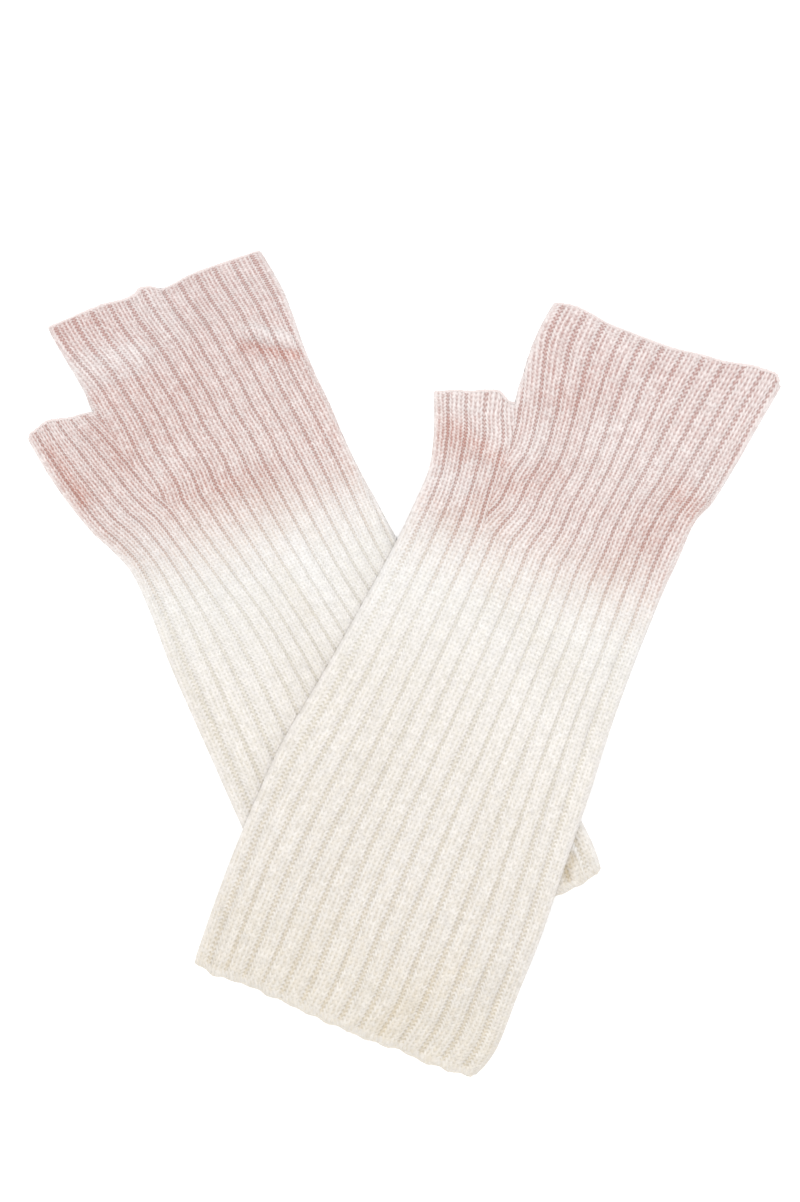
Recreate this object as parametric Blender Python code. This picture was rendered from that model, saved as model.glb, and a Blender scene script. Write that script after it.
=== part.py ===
"""Two fingerless arm warmers of rib knit, laid flat and crossed, one on top of the other.

Each warmer is a flattened rib tube: an upper wall with raised ribs, an under wall that lies flat, and a
thin hollow between them that is open at the hem, at the thumb and at the fingers. The tables are in
millimetres in the warmer's own plane, x across the palm and y from the hem towards the fingers. The
solids are in metres, +Z up, with the origin at the bottom centre of the pair.
"""

import math
from collections import namedtuple

import bmesh
import bpy

MM = 0.001

# Knitted wall, in millimetres.
UNDER_WALL = 2.0  # the wall that lies on the table
UPPER_WALL = 1.6  # the wall on top, measured in a trough between ribs
RIB_RISE = 1.0  # how far a rib stands above its troughs
HOLLOW = 0.4  # between the two walls at the side folds
LEAST_HOLLOW = 0.3  # between the two walls under the deepest crease
LOFT = 1.2  # how much the upper wall is puffed up away from the side folds
LOFT_WIDTH = 13.0  # distance from a side fold over which the loft builds up
FOLD_HEIGHT = 2.6  # height of the outermost line of a side fold above the table
FOLD_ROUND = 2.6  # width of the rounding at a side fold, on top
UNDER_ROUND = 1.6  # width of the rounding at a side fold, below
FOLD_WALL = 2.0  # thickness of the wall in a side fold
CREASE_WIDTH = 6.5  # distance from a side fold over which a crease comes to its full height
SMALL = 1e-6
SHARP_EDGE = math.radians(50.0)

# Rib pattern, in wales, which are the columns of stitches: three knit wales and two purl wales.
WALES_PER_RIB = 5.0
FIRST_TROUGH = 3.75  # the first trough's middle line, from the thumb-side fold
TROUGH_HALF = 0.7  # half width of a trough's floor
RIB_FOOT = 1.2  # from a trough's middle line to the top of the rib beside it
THUMB_FOLD_WALES = (0.0, 0.4, 1.2)  # extra lines that round the thumb-side fold
PALM_FOLD_WALES = (1.9, 1.1, 0.4, 0.0)  # and the palm-side fold, counted back from it
COARSE_STEP = 4  # the plain inside has one line for each rib
THUMB_UNDER_LINES = (2,)  # rib lines that round the side folds underneath
HAND_UNDER_LINES = (5, 50)

# Where the upper warmer crosses the lower one it is carried on it.
CROSSING_LIFT = 6.5
CROSSING_REACH = 10.0  # the full lift goes this far past the lower warmer's outline
CROSSING_FALL = 26.0  # and comes down to the table over this width

# One row for each course of the knit where the outline changes. left is the thumb-side fold, gusset is
# the line along which wales are added for the thumb, right is the palm-side fold. thumb_wales and
# hand_wales are the pattern's wale on each side of the gusset line, palm_wales the one at the right fold.
# ease gathers the ribs towards the right fold, steps is the number of mesh rows up to the next course.
Course = namedtuple(
    "Course",
    "name left gusset right thumb_wales hand_wales palm_wales ease steps",
)

UPPER_COURSES = (
    Course("hem", (-60.3, -4.6), (-30.6, -2.3), (60.6, 4.9), 20.15, 20.15, 72.5, 0.0, 2),
    Course("above hem", (-62.6, 14), (-31.2, 15), (63.0, 18), 20.15, 20.15, 72.7, 0.0, 2),
    Course("low forearm", (-65.2, 40), (-32.2, 41), (61.2, 41), 20.15, 20.15, 73.0, 0.0, 2),
    Course("forearm", (-66.8, 65), (-32.2, 65), (59.1, 65), 20.15, 20.15, 73.2, 0.0, 2),
    Course("widest", (-67.4, 90), (-31.5, 90), (55.8, 90), 20.15, 20.15, 73.3, 0.0, 3),
    Course("high forearm", (-65.0, 120), (-31.5, 120), (52.0, 120), 20.15, 20.15, 73.5, 0.0, 3),
    Course("above crossing", (-63.3, 150), (-31.6, 150), (47.9, 150), 20.15, 20.15, 73.7, 0.0, 2),
    Course("wrist", (-62.0, 178), (-31.9, 178), (44.9, 178), 20.15, 20.15, 73.4, 0.0, 2),
    Course("gusset start", (-62.2, 198), (-33.0, 201), (43.2, 199), 20.15, 20.15, 73.6, 0.0, 2),
    Course("first new rib", (-63.0, 213), (-35.6, 215), (42.2, 214), 20.15, 16.0, 74.2, 0.0, 1),
    Course("gusset", (-66.3, 224), (-37.4, 226), (41.8, 226), 20.15, 15.0, 74.4, 0.0, 2),
    Course("second new rib", (-70.2, 233), (-38.9, 238), (41.4, 241), 21.0, 13.4, 74.1, 0.0, 2),
    Course("thumb edge", (-75.0, 242.2), (-43.8, 252.0), (44.2, 252), 22.7, 12.2, 74.5, 0.0, 2),
    Course("palm", None, (-46.8, 268), (45.8, 268), None, 14.4, 75.2, 0.08, 2),
    Course("knuckles", None, (-48.1, 282), (46.9, 287), None, 16.4, 75.7, 0.14, 2),
    Course("finger edge", None, (-47.5, 295.2), (48.2, 305.0), None, 16.8, 75.8, 0.14, 0),
)
LOWER_COURSES = (
    Course("hem", (-57.6, 1.0), (-21.0, -0.6), (60.2, 1.0), 25.15, 25.15, 77.5, 0.0, 2),
    Course("above hem", (-60.2, 20), (-21.0, 19), (61.3, 17), 25.15, 25.15, 77.5, 0.0, 3),
    Course("low forearm", (-61.4, 50), (-20.5, 49), (58.6, 48), 25.15, 25.15, 78.0, 0.0, 2),
    Course("forearm", (-61.6, 80), (-20.0, 79), (54.5, 78), 25.15, 25.15, 79.0, 0.0, 2),
    Course("crossing", (-60.9, 105), (-19.3, 105), (50.3, 105), 25.15, 25.15, 80.0, 0.0, 2),
    Course("high forearm", (-60.2, 130), (-19.2, 130), (46.4, 130), 25.15, 25.15, 80.6, 0.0, 2),
    Course("above crossing", (-59.4, 150), (-20.8, 150), (43.8, 150), 25.15, 25.15, 80.8, 0.0, 2),
    Course("wrist", (-57.6, 170), (-24.9, 170), (42.9, 170), 25.15, 25.15, 79.8, 0.0, 2),
    Course("narrowest", (-57.3, 188), (-28.9, 190), (42.2, 188), 25.15, 25.15, 78.5, 0.0, 2),
    Course("gusset start", (-60.6, 200), (-31.0, 204), (42.3, 202), 25.15, 25.15, 78.5, 0.0, 1),
    Course("first new rib", (-64.6, 210), (-34.6, 214), (42.9, 214), 25.15, 22.0, 79.2, 0.0, 2),
    Course("gusset", (-68.4, 226), (-37.6, 228), (42.8, 228), 25.15, 21.0, 79.4, 0.0, 2),
    Course("second new rib", (-70.5, 240), (-39.6, 241), (43.4, 240), 26.5, 19.6, 79.9, 0.0, 2),
    Course("thumb edge", (-71.6, 254.4), (-43.4, 252.8), (44.8, 253), 27.7, 18.0, 80.9, 0.0, 1),
    Course("palm", None, (-43.2, 264), (45.7, 263), None, 19.4, 81.4, 0.0, 2),
    Course("knuckles", None, (-44.4, 279), (45.2, 273), None, 21.6, 81.4, 0.0, 2),
    Course("finger edge", None, (-45.2, 291.0), (44.4, 281.9), None, 22.0, 81.2, 0.0, 0),
)

# How far an open edge strays from a straight line: share of the way across, millimetres along y.
Stray = namedtuple("Stray", "across along")
UPPER_HEM = (
    Stray(0.0, 0.0),
    Stray(0.08, -1.4),
    Stray(0.19, 0.0),
    Stray(0.3, -0.4),
    Stray(0.5, -1.6),
    Stray(0.66, -2.4),
    Stray(0.73, -1.8),
    Stray(0.83, -2.7),
    Stray(0.97, -1.6),
    Stray(1.0, 0.0),
)
UPPER_THUMB = (Stray(0.0, 0.0), Stray(0.35, 1.6), Stray(0.72, 4.0), Stray(0.94, 0.2), Stray(1.0, 0.0))
UPPER_FINGERS = (
    Stray(0.0, 0.0),
    Stray(0.08, 1.2),
    Stray(0.28, -1.0),
    Stray(0.5, -1.2),
    Stray(0.7, 0.9),
    Stray(0.88, 3.8),
    Stray(0.955, 4.0),
    Stray(1.0, 0.0),
)
LOWER_HEM = (Stray(0.0, 0.0), Stray(0.5, -1.2), Stray(0.94, -1.9), Stray(1.0, 0.0))
LOWER_THUMB = (Stray(0.0, 0.0), Stray(0.08, 1.8), Stray(0.36, 3.4), Stray(0.75, 1.0), Stray(1.0, 0.0))
LOWER_FINGERS = (
    Stray(0.0, 0.0),
    Stray(0.25, 0.9),
    Stray(0.36, -0.1),
    Stray(0.41, 0.4),
    Stray(0.45, 2.0),
    Stray(0.48, 1.4),
    Stray(0.535, -1.4),
    Stray(0.72, 0.4),
    Stray(1.0, 0.0),
)

# The largest folds of the upper wall: a soft ridge (rise above 0) or trough along a line.
Crease = namedtuple("Crease", "name start end half_width rise")
UPPER_CREASES = (
    Crease("thumb ridge", (-60, 210), (-42, 221), 9.0, 1.6),
    Crease("thumb valley", (-66, 233), (-39, 229), 8.0, -1.0),
    Crease("thumb tip ridge", (-66, 245), (-47, 250), 8.0, 1.0),
    Crease("gusset ridge", (-29, 240), (-31, 254), 7.0, 1.0),
    Crease("palm valley", (44, 242), (30, 248), 8.0, -0.9),
    Crease("palm ridge", (46, 256), (28, 264), 9.0, 1.3),
    Crease("arm ridge", (-57, 192), (-60, 138), 7.0, 1.2),
    Crease("arm valley", (-20, 185), (24, 162), 12.0, -0.6),
    Crease("hem valley", (20, 8), (34, 40), 10.0, -0.7),
)
LOWER_CREASES = (
    Crease("palm ridge", (45, 238), (26, 252), 8.0, 2.4),
    Crease("palm valley", (43, 230), (18, 243), 8.0, -1.1),
    Crease("back ridge", (-43, 268), (-16, 264), 8.0, 1.7),
    Crease("back valley", (-41, 256), (-20, 254), 8.0, -0.9),
    Crease("finger edge ridge", (-6, 292), (-1, 268), 7.0, 1.3),
    Crease("thumb ridge", (-60, 216), (-46, 196), 8.0, 1.3),
    Crease("thumb valley", (-65, 246), (-61, 220), 6.0, -0.9),
    Crease("arm ridge", (7, 172), (9, 146), 6.0, 1.4),
    Crease("arm valley", (-4, 166), (-1, 142), 6.0, -0.9),
)

# Place of each warmer on the table: middle of its hem in millimetres, and its turn in degrees.
Warmer = namedtuple("Warmer", "name hem turn courses first_new_trough edges creases colour")
EdgeStrays = namedtuple("EdgeStrays", "hem thumb fingers")

UPPER = Warmer(
    "upper_arm_warmer",
    (-27.73, -141.97),
    -26.2,
    UPPER_COURSES,
    13.75,
    EdgeStrays(UPPER_HEM, UPPER_THUMB, UPPER_FINGERS),
    UPPER_CREASES,
    (0.83, 0.74, 0.68, 1.0),
)
LOWER = Warmer(
    "lower_arm_warmer",
    (24.67, -108.77),
    25.7,
    LOWER_COURSES,
    18.75,
    EdgeStrays(LOWER_HEM, LOWER_THUMB, LOWER_FINGERS),
    LOWER_CREASES,
    (0.80, 0.68, 0.64, 1.0),
)
KNIT_ROUGHNESS = 0.92


def between(start, end, share):
    return start + (end - start) * share


def smooth_step(value):
    value = min(max(value, 0.0), 1.0)
    return value * value * (3.0 - 2.0 * value)


def curve_value(values, place):
    """A Catmull-Rom curve through evenly spaced values, read at a place such as 2.5."""
    index = min(int(place), len(values) - 2)
    share = place - index
    before = values[max(index - 1, 0)]
    start, end = values[index], values[index + 1]
    after = values[min(index + 2, len(values) - 1)]
    leave = (end - before) / 2.0
    arrive = (after - start) / 2.0
    bend = 3.0 * (end - start) - 2.0 * leave - arrive
    tail = 2.0 * (start - end) + leave + arrive
    return start + share * (leave + share * (bend + share * tail))


def curve_point(points, place):
    return tuple(curve_value([point[axis] for point in points], place) for axis in (0, 1))


def straight_value(values, place):
    index = min(int(place), len(values) - 2)
    return between(values[index], values[index + 1], place - index)


def stray_along(strays, across):
    """How far an open edge strays along y at a share of the way across."""
    for start, end in zip(strays, strays[1:]):
        if across <= end.across:
            share = (across - start.across) / (end.across - start.across)
            return between(start.along, end.along, smooth_step(share))
    return 0.0


def rib_height(wale):
    """0 on a trough's floor and 1 on top of a rib."""
    beyond = (wale - FIRST_TROUGH + WALES_PER_RIB / 2.0) % WALES_PER_RIB - WALES_PER_RIB / 2.0
    return min(max((abs(beyond) - TROUGH_HALF) / (RIB_FOOT - TROUGH_HALF), 0.0), 1.0)


def rib_lines(first_trough, last_trough):
    """The lines along the foot and the top of each rib, from one trough to another."""
    lines = []
    trough = first_trough
    while trough <= last_trough + SMALL:
        lines += [trough - RIB_FOOT, trough - TROUGH_HALF, trough + TROUGH_HALF, trough + RIB_FOOT]
        trough += WALES_PER_RIB
    return lines


class Row:
    """One mesh row across a warmer, at a place between two courses of its table."""

    def __init__(self, warmer, place):
        courses = warmer.courses
        self.last_thumb_course = max(i for i, course in enumerate(courses) if course.left)
        self.crotch = math.isclose(place, self.last_thumb_course)
        self.has_thumb = place <= self.last_thumb_course + SMALL
        self.warmer = warmer
        self.place = place
        self.gusset = curve_point([course.gusset for course in courses], place)
        self.right = curve_point([course.right for course in courses], place)
        self.hand_wales = curve_value([course.hand_wales for course in courses], place)
        self.palm_wales = curve_value([course.palm_wales for course in courses], place)
        self.ease = straight_value([course.ease for course in courses], place)
        self.hand_width = math.dist(self.gusset, self.right)
        if self.has_thumb:
            thumb_courses = courses[: self.last_thumb_course + 1]
            self.left = curve_point([course.left for course in thumb_courses], place)
            self.thumb_wales = straight_value([c.thumb_wales for c in thumb_courses], place)
            self.hand_wales = min(self.hand_wales, self.thumb_wales)
            self.thumb_width = math.dist(self.left, self.gusset)

    def hand_share(self, wale):
        share = (wale - self.hand_wales) / (self.palm_wales - self.hand_wales)
        share = min(max(share, 0.0), 1.0)
        return share + self.ease * share * (1.0 - share)

    def thumb_point(self, share):
        """Plan point and distance to the nearest side fold, on the thumb's side of the gusset line."""
        x = between(self.left[0], self.gusset[0], share)
        y = between(self.left[1], self.gusset[1], share)
        if self.crotch:
            y += stray_along(self.warmer.edges.thumb, share)
            return x, y, min(share, 1.0 - share) * self.thumb_width
        if self.place == 0.0:
            y += stray_along(self.warmer.edges.hem, self.across(x))
        return x, y, share * self.thumb_width

    def hand_point(self, share):
        """Plan point and distance to the nearest side fold, on the hand's side of the gusset line."""
        x = between(self.gusset[0], self.right[0], share)
        y = between(self.gusset[1], self.right[1], share)
        fold = (1.0 - share) * self.hand_width
        if self.crotch or not self.has_thumb:
            fold = min(fold, share * self.hand_width)
        if self.place == 0.0:
            y += stray_along(self.warmer.edges.hem, self.across(x))
        if self.place == len(self.warmer.courses) - 1:
            y += stray_along(self.warmer.edges.fingers, share)
        return x, y, fold

    def across(self, x):
        return (x - self.left[0]) / (self.right[0] - self.left[0])


def mesh_rows(warmer):
    rows = []
    for index, course in enumerate(warmer.courses):
        for step in range(max(course.steps, 1)):
            rows.append(Row(warmer, index + step / max(course.steps, 1)))
    return rows


def to_table(warmer, x, y):
    """From a warmer's own plane to the pair's frame, both in millimetres."""
    turn = math.radians(warmer.turn)
    return (
        warmer.hem[0] + x * math.cos(turn) - y * math.sin(turn),
        warmer.hem[1] + x * math.sin(turn) + y * math.cos(turn),
    )


def outline(warmer):
    """The warmer's plan outline in the pair's frame, once around."""
    rows = mesh_rows(warmer)
    thumb_side = [row.left for row in rows if row.has_thumb]
    hand_side = [row.gusset for row in rows if row.crotch or not row.has_thumb]
    palm_side = [row.right for row in reversed(rows)]
    return [to_table(warmer, *point) for point in thumb_side + hand_side + palm_side]


def outside_by(point, loop):
    """Distance from a point to a closed outline, 0 inside it."""
    inside = False
    nearest = math.inf
    for start, end in zip(loop, loop[1:] + loop[:1]):
        run = (end[0] - start[0], end[1] - start[1])
        reach = (point[0] - start[0], point[1] - start[1])
        length = run[0] ** 2 + run[1] ** 2
        share = min(max((reach[0] * run[0] + reach[1] * run[1]) / length, 0.0), 1.0)
        nearest = min(nearest, math.hypot(reach[0] - share * run[0], reach[1] - share * run[1]))
        if (start[1] > point[1]) != (end[1] > point[1]):
            inside ^= point[0] < start[0] + run[0] * reach[1] / run[1]
    return 0.0 if inside else nearest


def crossing_lift(x, y, below):
    """Height at which the upper warmer is carried over the outline of the one below it."""
    if below is None:
        return 0.0
    fall = (outside_by((x, y), below) - CROSSING_REACH) / CROSSING_FALL
    return CROSSING_LIFT * (1.0 - smooth_step(fall))


def crease_rise(creases, x, y):
    """Sum of the soft ridges and troughs at a point of the warmer's plane."""
    rise = 0.0
    for crease in creases:
        run = (crease.end[0] - crease.start[0], crease.end[1] - crease.start[1])
        reach = (x - crease.start[0], y - crease.start[1])
        share = (reach[0] * run[0] + reach[1] * run[1]) / (run[0] ** 2 + run[1] ** 2)
        share = min(max(share, 0.0), 1.0)
        away = math.hypot(reach[0] - share * run[0], reach[1] - share * run[1])
        rise += crease.rise * (1.0 - smooth_step(away / crease.half_width))
    return rise


def bulge(fold, width):
    """Quarter round: 0 at a side fold, 1 from a width away."""
    near = 1.0 - min(fold / width, 1.0)
    return math.sqrt(max(1.0 - near * near, 0.0))


class Wall:
    """Builds the closed wall of one warmer as a mesh, from its rows and rib lines."""

    def __init__(self, warmer, below):
        self.warmer = warmer
        self.below = below
        self.rows = mesh_rows(warmer)
        self.mesh = bmesh.new()
        self.corners = {}
        start = warmer.first_new_trough
        palm_end = self.rows[0].palm_wales
        self.thumb_lines = list(THUMB_FOLD_WALES)
        self.thumb_lines += rib_lines(FIRST_TROUGH, start + WALES_PER_RIB)
        self.thumb_lines += [self.thumb_lines[-1] + WALES_PER_RIB - 2.0 * RIB_FOOT, math.inf]
        self.hand_lines = [-math.inf] + rib_lines(start, palm_end - FIRST_TROUGH)
        self.palm_lines = len(self.hand_lines)
        self.hand_lines += PALM_FOLD_WALES

    def plan(self, row, side, line, inside):
        """Plan point, distance to the side fold and pattern wale of one corner."""
        if side == "thumb" and self.thumb_lines[line] < row.thumb_wales:
            wale = self.thumb_lines[line]
            share = wale / row.thumb_wales
            if inside:
                share = max(share, FOLD_WALL / row.thumb_width)
            return (*row.thumb_point(share), wale)
        wale = self.hand_lines[0 if side == "thumb" else line]
        if side == "hand" and line >= self.palm_lines:
            wale = row.palm_wales - wale
        wale = min(max(wale, row.hand_wales), row.palm_wales)
        share = row.hand_share(wale)
        if inside:
            share = min(share, 1.0 - FOLD_WALL / row.hand_width)
            if row.crotch or not row.has_thumb:
                share = max(share, FOLD_WALL / row.hand_width)
        return (*row.hand_point(share), wale)

    def corner(self, row, side, line, layer):
        """The mesh corner of a layer: upper or under, outer or inner."""
        inside = layer.endswith("inner")
        x, y, fold, wale = self.plan(row, side, line, inside)
        loft = LOFT * smooth_step(fold / LOFT_WIDTH)
        crease = crease_rise(self.warmer.creases, x, y) * smooth_step(fold / CREASE_WIDTH)
        hollow_top = UNDER_WALL + max(HOLLOW + loft + crease, LEAST_HOLLOW)
        if layer == "upper_outer":
            top = hollow_top + UPPER_WALL + RIB_RISE * rib_height(wale)
            height = between(FOLD_HEIGHT, top, bulge(fold, FOLD_ROUND))
        elif layer == "under_outer":
            height = FOLD_HEIGHT * (1.0 - bulge(fold, UNDER_ROUND))
        elif fold <= FOLD_WALL + SMALL:
            height = UNDER_WALL + LEAST_HOLLOW / 2.0
        else:
            height = hollow_top if layer == "upper_inner" else UNDER_WALL
        table_x, table_y = to_table(self.warmer, x, y)
        height += crossing_lift(table_x, table_y, self.below)
        place = (table_x * MM, table_y * MM, height * MM)
        key = tuple(round(value, 7) for value in place)
        if key not in self.corners:
            self.corners[key] = self.mesh.verts.new(place)
        return self.corners[key]

    def face(self, corners):
        """Adds a face, leaving out the corners that wales not yet begun have in common."""
        ring = [c for i, c in enumerate(corners) if c is not corners[i - 1]]
        if len(ring) > 2:
            self.mesh.faces.new(ring)

    def lines_of(self, side, layer):
        last = len(self.thumb_lines if side == "thumb" else self.hand_lines) - 1
        if layer == "upper_outer":
            return list(range(last + 1))
        coarse = list(range(0, last + 1, COARSE_STEP))
        if layer == "under_outer":
            coarse += THUMB_UNDER_LINES if side == "thumb" else HAND_UNDER_LINES
        return sorted(coarse)

    def panel(self, side, layer):
        lines = self.lines_of(side, layer)
        for row, after in zip(self.rows, self.rows[1:]):
            if side == "thumb" and not after.has_thumb:
                break
            for line, beside in zip(lines, lines[1:]):
                self.face(
                    [
                        self.corner(row, side, line, layer),
                        self.corner(row, side, beside, layer),
                        self.corner(after, side, beside, layer),
                        self.corner(after, side, line, layer),
                    ]
                )

    def open_edge(self, row, side, wall):
        """Closes the wall's thickness along a hem, thumb edge or finger edge."""
        outer = self.lines_of(side, wall + "_outer")
        inner = self.lines_of(side, wall + "_inner")
        for line, beside in zip(inner, inner[1:]):
            ring = [self.corner(row, side, i, wall + "_outer") for i in outer if line <= i <= beside]
            ring += [self.corner(row, side, i, wall + "_inner") for i in (beside, line)]
            self.face(ring)

    def build(self):
        thumb_edge = next(row for row in self.rows if row.crotch)
        for wall in ("upper", "under"):
            for side in ("thumb", "hand"):
                self.panel(side, wall + "_outer")
                self.panel(side, wall + "_inner")
                self.open_edge(self.rows[0], side, wall)
            self.open_edge(thumb_edge, "thumb", wall)
            self.open_edge(self.rows[-1], "hand", wall)
        bmesh.ops.recalc_face_normals(self.mesh, faces=self.mesh.faces)
        if self.mesh.calc_volume(signed=True) < 0.0:
            bmesh.ops.reverse_faces(self.mesh, faces=self.mesh.faces)
        bmesh.ops.triangulate(self.mesh, faces=self.mesh.faces)
        return self.mesh


def knit_material(warmer):
    material = bpy.data.materials.new(warmer.name + "_knit")
    material.use_nodes = True
    shader = material.node_tree.nodes["Principled BSDF"]
    shader.inputs["Base Color"].default_value = warmer.colour
    shader.inputs["Roughness"].default_value = KNIT_ROUGHNESS
    shader.inputs["Metallic"].default_value = 0.0
    return material


def add_warmer(warmer, below=None):
    wall = Wall(warmer, below).build()
    mesh = bpy.data.meshes.new(warmer.name)
    wall.to_mesh(mesh)
    wall.free()
    mesh.materials.append(knit_material(warmer))
    mesh.shade_smooth()
    mesh.set_sharp_from_angle(angle=SHARP_EDGE)
    solid = bpy.data.objects.new(warmer.name, mesh)
    bpy.context.scene.collection.objects.link(solid)
    return solid


def main():
    for old in list(bpy.data.objects):
        bpy.data.objects.remove(old, do_unlink=True)
    add_warmer(LOWER)
    add_warmer(UPPER, below=outline(LOWER))


main()
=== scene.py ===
# %% [markdown]
# # A pair of dip-dyed, rib-knit arm warmers
#
# The real pair is knitted from fine wool on a machine: two tubes without a seam, each with a short thumb,
# half dipped in a pale pink dye. They lie flat on a table, the second one across the first.
# This lesson builds the cloth in four steps: the plain wall from a table of courses, then its ribs and
# stitches, its bound edges and its loose fibres with Geometry Nodes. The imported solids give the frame.

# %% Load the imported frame
import math
from collections import namedtuple

import bpy
import numpy as np
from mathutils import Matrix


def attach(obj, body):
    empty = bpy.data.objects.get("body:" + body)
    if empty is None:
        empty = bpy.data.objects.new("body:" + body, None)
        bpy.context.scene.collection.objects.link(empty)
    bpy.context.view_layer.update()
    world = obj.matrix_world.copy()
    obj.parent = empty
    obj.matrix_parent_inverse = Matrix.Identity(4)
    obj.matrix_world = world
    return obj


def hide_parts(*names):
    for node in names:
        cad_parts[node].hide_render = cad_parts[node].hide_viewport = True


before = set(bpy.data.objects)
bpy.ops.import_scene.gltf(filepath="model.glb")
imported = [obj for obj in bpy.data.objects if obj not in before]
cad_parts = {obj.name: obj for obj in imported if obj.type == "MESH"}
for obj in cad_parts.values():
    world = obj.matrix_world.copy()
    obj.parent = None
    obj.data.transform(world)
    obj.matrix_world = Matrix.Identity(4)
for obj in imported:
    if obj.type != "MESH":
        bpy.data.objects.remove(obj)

for name in ("Cube", "Light", "Camera"):  # what a new Blender file starts with
    if name in bpy.data.objects:
        bpy.data.objects.remove(bpy.data.objects[name], do_unlink=True)
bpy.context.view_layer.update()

# %% [markdown]
# ## The shape of a knitted wall
#
# A rib knit has columns of stitches, called wales, and rows of stitches, called courses. Here three knit
# wales stand up as a rib, and the two purl wales beside them sink into a trough. Lengths in these tables
# are millimetres in a warmer's own plane: x runs across the palm, y from the hem towards the fingers.
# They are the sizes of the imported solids, so that the cloth lies exactly where its solid does.

# %% Sizes of the wall and of the rib pattern
MM = 0.001
UNDER_WALL = 2.0  # the wall that lies on the table
UPPER_WALL = 1.6  # the wall on top, measured in a trough between ribs
RIB_RISE = 1.0  # how far a rib stands above its troughs
HOLLOW = 0.4  # between the two walls at the side folds
LEAST_HOLLOW = 0.3  # between the two walls under the deepest crease
LOFT = 1.2  # how much the upper wall is puffed up away from the side folds
LOFT_WIDTH = 13.0  # width over which it rises to that, from a side fold
FOLD_HEIGHT = 2.6  # the outermost line of a side fold, above the table
FOLD_ROUND = 2.6  # width of a side fold's round on top
UNDER_ROUND = 1.6  # and of its round underneath
FOLD_WALL = 2.0  # how thick the cloth is at a side fold
CREASE_WIDTH = 6.5  # width over which creases fade in, from a side fold
EDGE_ROUND = 1.5  # width over which a wall thins towards an open edge
EDGE_SHARE = 0.4  # what is left of its thickness there

WALES_PER_RIB = 5.0
FIRST_TROUGH = 3.75  # the first trough's middle line, in wales from the thumb-side fold
ROWS_PER_COURSE = 2  # mesh rows: one on a course's loops, one between them

# %% [markdown]
# ## Where the outline changes
#
# A knitter's pattern is a list of rows with a stitch count, and so is this one. `left` is the thumb-side
# fold, `gusset` the line along which new wales are added for the thumb, `right` the palm-side fold. The
# three counts are of wales from the thumb-side fold: `thumb_wales` up to the gusset line, `hand_wales`
# where the hand goes on after it, and `palm_wales` up to the palm-side fold. Above the crotch of the thumb
# only the hand goes on. `ease` gathers the ribs towards the palm-side fold.

# %% Courses of the two warmers
Course = namedtuple(
    "Course", "name left gusset right thumb_wales hand_wales palm_wales ease", defaults=(0.0,)
)
UPPER_COURSES = (
    Course("hem", (-60.3, -4.6), (-30.6, -2.3), (60.6, 4.9), 20.15, 20.15, 72.5),
    Course("above hem", (-62.6, 14), (-31.2, 15), (63.0, 18), 20.15, 20.15, 72.7),
    Course("low forearm", (-65.2, 40), (-32.2, 41), (61.2, 41), 20.15, 20.15, 73.0),
    Course("forearm", (-66.8, 65), (-32.2, 65), (59.1, 65), 20.15, 20.15, 73.2),
    Course("widest", (-67.4, 90), (-31.5, 90), (55.8, 90), 20.15, 20.15, 73.3),
    Course("high forearm", (-65.0, 120), (-31.5, 120), (52.0, 120), 20.15, 20.15, 73.5),
    Course("above crossing", (-63.3, 150), (-31.6, 150), (47.9, 150), 20.15, 20.15, 73.7),
    Course("wrist", (-62.0, 178), (-31.9, 178), (44.9, 178), 20.15, 20.15, 73.4),
    Course("gusset start", (-62.2, 198), (-33.0, 201), (43.2, 199), 20.15, 20.15, 73.6),
    Course("first new rib", (-63.0, 213), (-35.6, 215), (42.2, 214), 20.15, 16.0, 74.2),
    Course("gusset", (-66.3, 224), (-37.4, 226), (41.8, 226), 20.15, 15.0, 74.4),
    Course("second new rib", (-70.2, 233), (-38.9, 238), (41.4, 241), 21.0, 13.4, 74.1),
    Course("thumb edge", (-75.0, 242.2), (-43.8, 252.0), (44.2, 252), 22.7, 12.2, 74.5),
    Course("palm", None, (-46.8, 268), (45.8, 268), None, 14.4, 75.2, 0.08),
    Course("knuckles", None, (-48.1, 282), (46.9, 287), None, 16.4, 75.7, 0.14),
    Course("finger edge", None, (-47.5, 295.2), (48.2, 305.0), None, 16.8, 75.8, 0.14),
)
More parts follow.
